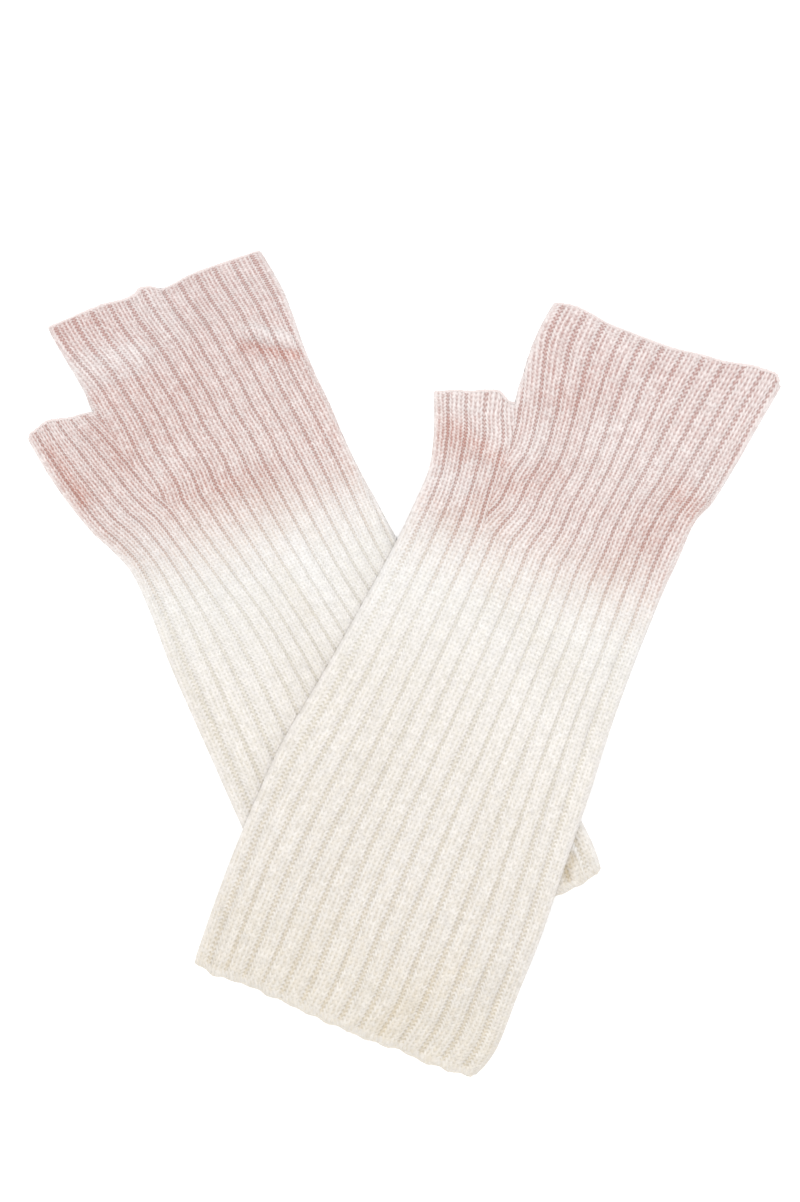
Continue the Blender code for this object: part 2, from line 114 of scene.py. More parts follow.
LOWER_COURSES = (
    Course("hem", (-57.6, 1.0), (-21.0, -0.6), (60.2, 1.0), 25.15, 25.15, 77.5),
    Course("above hem", (-60.2, 20), (-21.0, 19), (61.3, 17), 25.15, 25.15, 77.5),
    Course("low forearm", (-61.4, 50), (-20.5, 49), (58.6, 48), 25.15, 25.15, 78.0),
    Course("forearm", (-61.6, 80), (-20.0, 79), (54.5, 78), 25.15, 25.15, 79.0),
    Course("crossing", (-60.9, 105), (-19.3, 105), (50.3, 105), 25.15, 25.15, 80.0),
    Course("high forearm", (-60.2, 130), (-19.2, 130), (46.4, 130), 25.15, 25.15, 80.6),
    Course("above crossing", (-59.4, 150), (-20.8, 150), (43.8, 150), 25.15, 25.15, 80.8),
    Course("wrist", (-57.6, 170), (-24.9, 170), (42.9, 170), 25.15, 25.15, 79.8),
    Course("narrowest", (-57.3, 188), (-28.9, 190), (42.2, 188), 25.15, 25.15, 78.5),
    Course("gusset start", (-60.6, 200), (-31.0, 204), (42.3, 202), 25.15, 25.15, 78.5),
    Course("first new rib", (-64.6, 210), (-34.6, 214), (42.9, 214), 25.15, 22.0, 79.2),
    Course("gusset", (-68.4, 226), (-37.6, 228), (42.8, 228), 25.15, 21.0, 79.4),
    Course("second new rib", (-70.5, 240), (-39.6, 241), (43.4, 240), 26.5, 19.6, 79.9),
    Course("thumb edge", (-71.6, 254.4), (-43.4, 252.8), (44.8, 253), 27.7, 18.0, 80.9),
    Course("palm", None, (-43.2, 264), (45.7, 263), None, 19.4, 81.4),
    Course("knuckles", None, (-44.4, 279), (45.2, 273), None, 21.6, 81.4),
    Course("finger edge", None, (-45.2, 291.0), (44.4, 281.9), None, 22.0, 81.2),
)
print("courses in the tables:", len(UPPER_COURSES), "and", len(LOWER_COURSES))

# %% [markdown]
# ## Edges that stray, and creases
#
# No bound edge of soft wool lies straight. Each strays by small steps along y at shares of the way across,
# and not at its ends. A crease is a soft ridge (size above 0) or valley (below 0) along a short line, and
# its size is a height in millimetres. A noise could crease the cloth all over, and nowhere in particular;
# here all are placed one by one, where such a warmer folds: at the thumb, the palm, the arm and the hem.

# %% Open edges
EdgeStrays = namedtuple("EdgeStrays", "hem thumb fingers")
UPPER_EDGES = EdgeStrays(
    hem=(
        (0.08, -1.4), (0.19, 0.0), (0.3, -0.4), (0.5, -1.6), (0.66, -2.4), (0.73, -1.8), (0.83, -2.7),
        (0.97, -1.6),
    ),
    thumb=((0.35, 1.6), (0.72, 4.0), (0.94, 0.2)),
    fingers=((0.08, 1.2), (0.28, -1.0), (0.5, -1.2), (0.7, 0.9), (0.88, 3.8), (0.955, 4.0)),
)
LOWER_EDGES = EdgeStrays(
    hem=((0.5, -1.2), (0.94, -1.9)),
    thumb=((0.08, 1.8), (0.36, 3.4), (0.75, 1.0)),
    fingers=(
        (0.25, 0.9), (0.36, -0.1), (0.41, 0.4), (0.45, 2.0), (0.48, 1.4), (0.535, -1.4), (0.72, 0.4),
    ),
)

# %% Creases
Line = namedtuple("Line", "name start end half_width size")
UPPER_CREASES = (
    Line("thumb ridge", (-60, 210), (-42, 221), 9.0, 1.1),
    Line("thumb valley", (-66, 233), (-39, 229), 8.0, -1.0),
    Line("thumb tip ridge", (-66, 245), (-47, 250), 8.0, 1.0),
    Line("gusset ridge", (-29, 240), (-31, 254), 7.0, 1.0),
    Line("palm valley", (44, 242), (30, 248), 8.0, -0.9),
    Line("palm ridge", (46, 256), (28, 264), 9.0, 0.5),
    Line("arm ridge", (-57, 192), (-60, 138), 7.0, 1.2),
    Line("arm valley", (-20, 185), (24, 162), 12.0, -0.6),
    Line("hem valley", (20, 8), (34, 40), 10.0, -0.7),
)
LOWER_CREASES = (
    Line("palm ridge", (42, 243), (27, 255), 4.0, 2.0),
    Line("palm valley", (39, 238), (22, 250), 5.0, -1.5),
    Line("back ridge", (-43, 268), (-16, 264), 8.0, 1.7),
    Line("back valley", (-41, 256), (-20, 254), 8.0, -0.4),
    Line("finger edge ridge", (-6, 292), (-1, 268), 7.0, 1.3),
    Line("thumb ridge", (-60, 216), (-46, 196), 8.0, 1.3),
    Line("thumb valley", (-65, 246), (-61, 220), 6.0, -0.9),
    Line("arm ridge", (7, 172), (9, 146), 6.0, 1.4),
    Line("arm valley", (-4, 166), (-1, 142), 6.0, -0.9),
    Line("hem valley", (46, 4), (52, 11), 3.5, -0.9),
    Line("hem ridge", (55, 2), (54, 14), 2.0, 0.6),
)

# %% [markdown]
# Dye never takes evenly. Lines of the same kind mark where the colour is deeper (size above 0) and paler
# (below 0). Some are dye that gathered or wool that stayed paler. Others are painted shade in folds and
# valleys, painted light on ridges, and painted light against the shade that the upper warmer casts on the
# lower.

# %% Where the colour is deeper or paler
UPPER_DYE_AND_SHADE = (
    # painted shade in the thumb's valley
    Line("thumb", (-62, 226), (-40, 222), 13.0, 0.9),
    Line("gusset", (-46, 198), (-32, 207), 12.0, 0.75),
    Line("thumb side of the hand", (-34, 254), (-39, 284), 16.0, 0.5),
    Line("knuckles", (-24, 260), (-14, 272), 15.0, 0.6),
    Line("finger edge", (-20, 284), (24, 298), 13.0, 0.4),
    Line("palm side at the dye's line", (19, 205), (31, 236), 14.0, 0.8),
    Line("palm side of the hand", (24, 246), (40, 250), 12.0, 0.5),
    Line("base of the thumb", (-40, 212), (-18, 233), 10.0, 0.7),
    Line("first knuckle", (-24, 276), (-22, 262), 6.0, 0.45),
    Line("middle of the hand", (-2, 258), (14, 250), 16.0, -0.3),
    Line("palm side of the arm", (14, 140), (48, 134), 26.0, -0.8),
)
LOWER_DYE_AND_SHADE = (
    Line("thumb side of the hand", (-38, 236), (-6, 244), 20.0, 0.5),
    Line("corner of the fingers", (-40, 288), (-23, 283), 11.0, 0.55),
    # painted light on the back ridge
    Line("back ridge", (-42, 273), (-18, 267), 7.0, -0.6),
    # painted shade in the palm's valley, and painted light on the ridge above it
    Line("palm crease", (24, 250), (39, 239), 5.0, 0.55),
    Line("palm ridge", (29, 255), (42, 243), 2.5, -0.5),
    # painted shade along the thumb's valley and its shaded side
    Line("thumb fold", (-59, 211), (-64, 226), 11.0, 0.4),
    Line("edge of the thumb", (-66, 250), (-63, 222), 3.5, 0.6),
    Line("thumb", (-44, 245), (-42, 224), 8.0, 0.45),
    Line("low hand", (-26, 208), (4, 198), 15.0, 0.65),
    # painted shade in the open trough beside the fold
    Line("fold of the arm", (-58, 172), (-58, 118), 9.0, 1.2),
    # painted light against the shade beside the upper warmer's raised edge
    Line("beside the crossing", (5, 166), (13, 134), 16.0, -1.0),
    Line("arm", (-27, 153), (-37, 108), 14.0, -0.6),
    Line("palm side of the wrist", (20, 177), (40, 172), 12.0, -0.5),
    # painted shade in the hem's valley, and painted light on the rib beside it
    Line("open trough at the hem", (46, 4), (52, 10), 3.5, 3.0),
    Line("rib beside it", (55, 3), (54, 14), 1.5, -2.0),
    # painted light against the upper warmer's shadow on this corner
    Line("corner of the hem", (60, 3), (61, 22), 2.5, -2.5),
)

# %% [markdown]
# ## The two warmers
#
# The two could be modelled one after the other, or one could be a copy of the other, but real ones are
# alike and never the same. So one set of functions makes both, and all that tells them apart is in one
# record each: the node of its solid, the middle of its hem on the table and its turn in degrees, the
# tables above, and these. `course_heights` are pairs of a place along
# the warmer and the height of a course there. `wale_widths` are a wale's widths where the ribs are closed
# and where they are pulled apart; beyond the two wales of `open_ribs` they are pulled apart on the arm.
# `dye` is where the dye ends on the middle line, how much that line slants, and how deep its colour is.

# %% Records of the two warmers
Dye = namedtuple("Dye", "line slope depth")
Warmer = namedtuple(
    "Warmer",
    "name node hem turn courses edges creases course_heights wale_widths open_ribs dye patches seed",
)

UPPER = Warmer(
    name="upper",
    node="upper_arm_warmer",
    hem=(-27.73, -141.97),
    turn=-26.2,
    courses=UPPER_COURSES,
    edges=UPPER_EDGES,
    creases=UPPER_CREASES,
    course_heights=((0.0, 1.8), (185.0, 1.75), (215.0, 1.57), (305.0, 1.55)),
    wale_widths=(1.42, 1.62),
    open_ribs=(6.25, 66.25),
    dye=Dye(line=206.0, slope=0.13, depth=0.0),
    patches=UPPER_DYE_AND_SHADE,
    seed=3,
)
LOWER = Warmer(
    name="lower",
    node="lower_arm_warmer",
    hem=(24.67, -108.77),
    turn=25.7,
    courses=LOWER_COURSES,
    edges=LOWER_EDGES,
    creases=LOWER_CREASES,
    course_heights=((0.0, 2.0), (60.0, 1.85), (140.0, 1.6), (200.0, 1.45), (292.0, 1.4)),
    wale_widths=(1.3, 1.5),
    open_ribs=(6.25, 99.0),
    dye=Dye(line=191.0, slope=-0.15, depth=0.4),
    patches=LOWER_DYE_AND_SHADE,
    seed=8,
)
for warmer in (LOWER, UPPER):
    print(warmer.name, "warmer: hem at", warmer.hem, "turned by", warmer.turn, "degrees")

# %% [markdown]
# ## Small helpers
#
# Each helper works on one number or on a whole NumPy row of them. A row of the mesh then costs a few
# calls and no inner loop, which keeps a fine mesh quick to make.

# %% Helpers for curves and steps


def between(start, end, share):
    """The place at a share of the way from start to end."""
    return start + (end - start) * share


def smooth_step(value):
    """0 up to 0 and 1 from 1 on, with soft corners."""
    value = np.clip(value, 0.0, 1.0)
    return value * value * (3.0 - 2.0 * value)


def bulge(distance, width):
    """Quarter round: 0 at a fold or edge, 1 from a width away."""
    near = 1.0 - np.clip(distance / width, 0.0, 1.0)
    return np.sqrt(np.maximum(1.0 - near * near, 0.0))


def curve_value(values, place):
    """A Catmull-Rom curve through evenly spaced values, read at a place such as 2.5."""
    index = min(int(place), len(values) - 2)
    share = place - index
    before = values[max(index - 1, 0)]
    start, end = values[index], values[index + 1]
    after = values[min(index + 2, len(values) - 1)]
    leave = (end - before) / 2.0
    arrive = (after - start) / 2.0
    bend = 3.0 * (end - start) - 2.0 * leave - arrive
    tail = 2.0 * (start - end) + leave + arrive
    return start + share * (leave + share * (bend + share * tail))


def curve_point(points, place):
    """The same for points, one axis at a time."""
    return tuple(curve_value([point[axis] for point in points], place) for axis in (0, 1))


def straight_value(values, place):
    """Reads evenly spaced values with straight lines between them."""
    index = min(int(place), len(values) - 2)
    return between(values[index], values[index + 1], place - index)


# %% Helpers for edges and lines


def stray_along(strays, across):
    """How far an open edge strays along y at shares of the way across."""
    places, steps = np.array([(0.0, 0.0), *strays, (1.0, 0.0)]).T
    index = np.clip(np.searchsorted(places, across, side="right") - 1, 0, len(places) - 2)
    share = (across - places[index]) / (places[index + 1] - places[index])
    return between(steps[index], steps[index + 1], smooth_step(share))


def away_from(start, end, x, y):
    """Distance from points to the straight line between two others."""
    run_x, run_y = end[0] - start[0], end[1] - start[1]
    reach_x, reach_y = x - start[0], y - start[1]
    share = np.clip((reach_x * run_x + reach_y * run_y) / (run_x**2 + run_y**2), 0.0, 1.0)
    return np.hypot(reach_x - share * run_x, reach_y - share * run_y)


def near_lines(lines, x, y):
    """Sum of the lines' sizes at points of the warmer's plane, each fading out with distance."""
    total = np.zeros(x.shape)
    for line in lines:
        away = away_from(line.start, line.end, x, y)
        total += line.size * (1.0 - smooth_step(away / line.half_width))
    return total


# %% [markdown]
# ## A row across the warmer
#
# `Row` answers one question: where does a wale lie in this row? Wales that the gusset line hasn't begun
# yet all lie on that line, so their points coincide and are merged later. A row also knows how far its
# troughs are pulled open, how an open edge strays, and how its ribs scallop the hem.

# %% How hem, edges and troughs vary
STRAY_REACH = 0.5  # an edge's stray dies out over this share of a course table's step
SCALLOP = 0.32  # how far the hem bulges below a rib
SCALLOP_FALL = 4.0  # it is gone a quarter of a step above the hem
UNEVEN_SCALLOP = 0.6  # share by which the bulges differ
SCALLOP_TURN = 4.1  # how far, in radians, that goes on from one rib to the next
MOST_SPREAD = 0.5  # even a wide warmer leaves its troughs half closed
OPEN_UNTIL = 205.0  # up to here on the arm, the trough beside a side fold is pulled open
OPEN_FADE = 25.0  # and over this length before it, less and less
UNEVEN_SPREAD = 0.16  # no two troughs are pulled open alike, nor is one all along
TROUGH_TURN = 2.4  # radians that this goes on from one trough to the next
LONG_TURN = 1.7  # the same for the part of it that changes along a trough
SPREAD_WAVE = 21.0  # how slowly that part changes: one radian for so many millimetres

# %% One row of the knit


class Row:
    """One mesh row across a warmer, at a place between two courses of its table."""

    def __init__(self, warmer, place, course):
        courses = warmer.courses
        self.warmer = warmer
        self.place = place
        self.course = course
        self.crotch_place = max(i for i, c in enumerate(courses) if c.left)
        self.at_crotch = math.isclose(place, self.crotch_place)
        self.has_thumb = place <= self.crotch_place or self.at_crotch
        self.gusset = curve_point([c.gusset for c in courses], place)
        self.right = curve_point([c.right for c in courses], place)
        self.hand_wales = curve_value([c.hand_wales for c in courses], place)
        self.palm_wales = curve_value([c.palm_wales for c in courses], place)
        self.ease = straight_value([c.ease for c in courses], place)
        self.hand_width = math.dist(self.gusset, self.right)
        if self.has_thumb:
            thumb_courses = courses[: self.crotch_place + 1]
            self.left = curve_point([c.left for c in thumb_courses], place)
            self.thumb_wales = straight_value([c.thumb_wales for c in thumb_courses], place)
            self.hand_wales = min(self.hand_wales, self.thumb_wales)
            self.thumb_width = math.dist(self.left, self.gusset)

    def spread(self, side, wale):
        """0 where the ribs are closed over their troughs, 1 where they are pulled apart."""
        width = self.hand_width / (self.palm_wales - self.hand_wales)
        if side == "thumb":
            width = self.thumb_width / self.thumb_wales
        closed, apart = self.warmer.wale_widths
        spread = MOST_SPREAD * float(smooth_step((width - closed) / (apart - closed)))
        first, last = self.warmer.open_ribs
        on_arm = float(smooth_step((OPEN_UNTIL - self.gusset[1]) / OPEN_FADE))
        beside_fold = (wale < first) | (wale > last)
        turn = np.round((wale - FIRST_TROUGH) / WALES_PER_RIB) * TROUGH_TURN + self.warmer.seed
        uneven = np.sin(turn) + np.sin(self.gusset[1] / SPREAD_WAVE + turn * LONG_TURN)
        spread = np.clip(spread + UNEVEN_SPREAD * uneven, 0.0, 1.0)
        return np.where(beside_fold, np.maximum(spread, on_arm), spread)

    def stray_share(self, edge_place):
        return max(1.0 - abs(self.place - edge_place) / STRAY_REACH, 0.0)

    def hem_stray(self, x):
        across = (x - self.left[0]) / (self.right[0] - self.left[0])
        return self.stray_share(0.0) * stray_along(self.warmer.edges.hem, across)

    def scallop(self, wale):
        """A cast-on edge bulges below each rib, and here and there a little more."""
        turns = (wale - FIRST_TROUGH) / WALES_PER_RIB
        uneven = UNEVEN_SCALLOP * np.sin(turns * SCALLOP_TURN + self.warmer.seed)
        bulges = np.cos(turns * math.tau) + uneven
        return SCALLOP * bulges * max(1.0 - self.place * SCALLOP_FALL, 0.0)

    def plan(self, side, wale, inside=False):
        """x, y and distance to the nearest side fold, on one side of the gusset line."""
        return (self.thumb_plan if side == "thumb" else self.hand_plan)(wale, inside)

    def thumb_plan(self, wale, inside):
        share = np.clip(wale / self.thumb_wales, 0.0, 1.0)
        if inside:
            share = np.maximum(share, FOLD_WALL / self.thumb_width)
        x = between(self.left[0], self.gusset[0], share)
        y = between(self.left[1], self.gusset[1], share) + self.hem_stray(x) + self.scallop(wale)
        y = y + self.stray_share(self.crotch_place) * stray_along(self.warmer.edges.thumb, share)
        fold = share * self.thumb_width
        if self.at_crotch:
            fold = np.minimum(fold, (1.0 - share) * self.thumb_width)
        return x, y, fold

    def hand_plan(self, wale, inside):
        share = np.clip((wale - self.hand_wales) / (self.palm_wales - self.hand_wales), 0.0, 1.0)
        share = share + self.ease * share * (1.0 - share)
        open_side = self.at_crotch or not self.has_thumb
        if inside:
            share = np.minimum(share, 1.0 - FOLD_WALL / self.hand_width)
            if open_side:
                share = np.maximum(share, FOLD_WALL / self.hand_width)
        x = between(self.gusset[0], self.right[0], share)
        y = between(self.gusset[1], self.right[1], share)
        if self.has_thumb:
            y = y + self.hem_stray(x) + self.scallop(wale)
        last = len(self.warmer.courses) - 1
        y = y + self.stray_share(last) * stray_along(self.warmer.edges.fingers, share)
        fold = (1.0 - share) * self.hand_width
        if open_side:
            fold = np.minimum(fold, share * self.hand_width)
        return x, y, fold


# %% All rows of a warmer


def knit_rows(warmer):
    """Mesh rows from the hem to the fingers, with the number of the course that each is on."""
    rows = []
    heights = np.array(warmer.course_heights)
    for index, (course, after) in enumerate(zip(warmer.courses, warmer.courses[1:])):
        rise = math.dist(course.gusset, after.gusset)
        height = np.interp((course.gusset[1] + after.gusset[1]) / 2.0, heights[:, 0], heights[:, 1])
        steps = ROWS_PER_COURSE * max(round(rise / height), 1)
        for step in range(steps):
            rows.append(Row(warmer, index + step / steps, len(rows) / ROWS_PER_COURSE))
    rows.append(Row(warmer, len(warmer.courses) - 1.0, len(rows) / ROWS_PER_COURSE))
    return rows


# %% [markdown]
# ## Laying the warmer on the table
#
# The upper warmer rests on the lower one. It is lifted inside the lower one's outline, and comes back to
# the table over a soft slope outside it. A cloth simulation could let it settle there, but it would leave
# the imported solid, which has this same slope.

# %% From a warmer's own plane to the table
CROSSING_LIFT = 6.5  # the upper warmer is carried this high where it crosses the lower one
CROSSING_REACH = 10.0  # it stays so up to this far outside the lower one's outline
CROSSING_FALL = 26.0  # and is back on the table this much further out
OUTLINE_STEPS = 4  # points of the outline for each step of the course table


def to_table(warmer, x, y):
    turn = math.radians(warmer.turn)
    return (
        warmer.hem[0] + x * math.cos(turn) - y * math.sin(turn),
        warmer.hem[1] + x * math.sin(turn) + y * math.cos(turn),
    )


def outline(warmer):
    """The warmer's plan outline on the table, once around."""
    count = (len(warmer.courses) - 1) * OUTLINE_STEPS
    rows = [Row(warmer, step / OUTLINE_STEPS, 0.0) for step in range(count + 1)]
    loop = [row.left for row in rows if row.has_thumb]
    loop += [row.gusset for row in rows if row.at_crotch or not row.has_thumb]
    loop += [row.right for row in reversed(rows)]
    return [to_table(warmer, *point) for point in loop]


def outside_by(x, y, loop):
    """Distance from points to a closed outline, 0 inside it."""
    inside = np.zeros(x.shape, bool)
    nearest = np.full(x.shape, np.inf)
    for start, end in zip(loop, loop[1:] + loop[:1]):
        nearest = np.minimum(nearest, away_from(start, end, x, y))
        if end[1] != start[1]:
            crosses = (start[1] > y) != (end[1] > y)
            x_there = start[0] + (end[0] - start[0]) * (y - start[1]) / (end[1] - start[1])
            inside ^= crosses & (x < x_there)
    return np.where(inside, 0.0, nearest)


def crossing_lift(x, y, below):
    """How high points of the table plane are lifted over the outline of the warmer below, if any."""
    if below is None:
        return np.zeros(x.shape)
    fall = (outside_by(x, y, below) - CROSSING_REACH) / CROSSING_FALL
    return CROSSING_LIFT * (1.0 - smooth_step(fall))


# %% [markdown]
# ## The closed wall
#
# The wall has four layers: outside and inside of the part on top, and of the part underneath. The top's
# outside is fine, with a line for each crest and gap of the pattern; the plain inside needs few. Rows and
# lines meet at the folds and open edges, so the wall closes without a seam. Sculpting or a cloth
# simulation could give such a wall too, but here each point keeps its wale and course as attributes,
# which the ribs, stitches and dye read later.
#
# A layer's `offsets` are the lines of one rib, in wales from a trough's middle: wales change at whole
# numbers, and a loop's middle is at a half. `fold_lines` are more lines beside the thumb-side fold,
# `palm_lines` is the number of those that follow the palm-side fold, and a layer has each row, or only
# each third or eighth, as `row_step` says.

# %% Layers of the wall
Layer = namedtuple("Layer", "offsets fold_lines palm_lines row_step")
INNER = Layer(offsets=(1.0,), fold_lines=(), palm_lines=1, row_step=8)
LAYERS = {
    "upper_outer": Layer(
        offsets=(0.0, 0.38, 0.72, 1.0, 1.5, 2.0, 2.5, 3.0, 3.5, 4.0, 4.28, 4.62),
        fold_lines=(0.1, 0.5, 1.0),
        palm_lines=11,
        row_step=1,
    ),
    "under_outer": Layer(
        offsets=(0.0, 1.0, 2.5, 4.0),
        fold_lines=(0.12, 0.45, 0.9),
        palm_lines=5,
        row_step=3,
    ),
    "upper_inner": INNER,
    "under_inner": INNER,
}
print("lines in one rib of the upper wall:", len(LAYERS["upper_outer"].offsets))

# %% Lines of the mesh along the wales
PALM_TAIL = 2.2  # wales before the palm-side fold where the lines follow the fold
PALM_BEND = 1.5  # above 1, these lines lie closer together near the fold
MERGED = 0.15  # a wale nearer than this to the gusset line lies on it


def pattern_lines(low, high, offsets):
    """Wales of the lines between two wales, repeated for each rib."""
    first = math.floor((low - FIRST_TROUGH) / WALES_PER_RIB)
    last = math.ceil((high - FIRST_TROUGH) / WALES_PER_RIB)
    troughs = [FIRST_TROUGH + WALES_PER_RIB * rib for rib in range(first, last + 1)]
    lines = [trough + offset for trough in troughs for offset in offsets]
    return [line for line in lines if low < line < high]


class Lines:
    """The lines of one layer: fixed wales on the thumb's side, fixed and stretching ones on the hand's."""

    def __init__(self, courses, layer):
        thumb_most = max(c.thumb_wales for c in courses if c.left)
        hand_least = min(c.hand_wales for c in courses)
        self.palm_start = min(c.palm_wales for c in courses) - PALM_TAIL
        thumb = {0.0, *layer.fold_lines, *pattern_lines(0.0, thumb_most, layer.offsets)}
        self.thumb = np.array(sorted(thumb) + [thumb_most])
        self.hand = np.array([hand_least] + pattern_lines(hand_least, self.palm_start, layer.offsets))
        steps = np.arange(1, layer.palm_lines + 1) / layer.palm_lines
        self.palm_shares = 1.0 - (1.0 - steps) ** PALM_BEND

    def wales(self, row, side):
        if side == "thumb":
            return np.where(self.thumb > row.thumb_wales - MERGED, row.thumb_wales, self.thumb)
        fixed = np.where(self.hand < row.hand_wales + MERGED, row.hand_wales, self.hand)
        return np.concatenate([fixed, between(self.palm_start, row.palm_wales, self.palm_shares)])


# %% Distances to the open edges
HEM_BAND = 3.0  # the cast-on band, where the troughs are filled
HEM_FADE = 0.6 * HEM_BAND  # the ribs start to show this far from the hem, and are full twice as far
TOP_BAND = 0.9  # the bound-off band at the fingers and the thumb
HEM_THUMB_POINTS, HEM_HAND_POINTS = 40, 120  # points on the hem's line, beside the thumb and the hand
THUMB_POINTS, FINGER_POINTS = 60, 120  # and on the lines of the thumb's and the fingers' edges


class OpenEdges:
    """The three open edges of a warmer as plan lines, to measure how far a point is from them."""

    def __init__(self, hem, crotch, fingers):
        hem_thumb = self.line(hem, "thumb", HEM_THUMB_POINTS)
        hem_hand = self.line(hem, "hand", HEM_HAND_POINTS)
        self.hem = [np.concatenate([hem_thumb[axis], hem_hand[axis][1:]]) for axis in (0, 1)]
        self.top = {
            "thumb": self.line(crotch, "thumb", THUMB_POINTS),
            "hand": self.line(fingers, "hand", FINGER_POINTS),
        }

    def line(self, row, side, count):
        """x and y of points along one side of a row."""
        first, last = (0.0, row.thumb_wales) if side == "thumb" else (row.hand_wales, row.palm_wales)
        return row.plan(side, np.linspace(first, last, count))[:2]

    def ribbing(self, side, x, y):
        """0 on an edge's band, 1 where the ribs have their full depth, and distance to the edge."""
        hem = np.abs(y - np.interp(x, *self.hem))
        top = np.abs(np.interp(x, *self.top[side]) - y)
        ribbed = smooth_step((hem - HEM_FADE) / HEM_FADE) * smooth_step(top / TOP_BAND)
        return ribbed, np.minimum(hem, top)


# %% [markdown]
# Ribs of real wool sway a little to the sides, and the cloth swells a little. The sum of two slow waves
# looks less regular than one. A wave has its lengths along x and y, in millimetres for one radian, how
# much the seed shifts it, and its share of the whole.

# %% Gentle unevenness
Wave = namedtuple("Wave", "x y shift share")
SWAY = 0.5  # how far a rib sways to a side, in millimetres
SWAY_WAVES = (Wave(13.0, 37.0, 1.0, 1.0), Wave(-29.0, 19.0, 2.0, 0.7))
SWELL = 0.22  # how far the upper wall swells or sinks
SWELL_WAVES = (Wave(9.0, -16.0, 1.0, 1.0), Wave(21.0, 11.0, 3.0, 1.0))


def slow_waves(waves, seed, x, y):
    return sum(wave.share * np.sin(x / wave.x + y / wave.y + wave.shift * seed) for wave in waves)


# %% Points and faces of the wall
UNDER_SHORT = 0.6  # the part underneath ends this far inside an open edge, and isn't seen from above
UNDER_HOLLOW = 0.45  # share of a ridge above that lifts the wall underneath, on the other side of it
FOLD_RELIEF = 0.3  # share of the ribs' height that is left at a side fold
TINY = 1e-6  # lengths and wales nearer than this are the same
Spot = namedtuple("Spot", "number wale course")  # a point of the mesh, and where it lies in the knit
Fact = namedtuple("Fact", "wale course relief ribbing spread x y")  # what a point knows of the knit


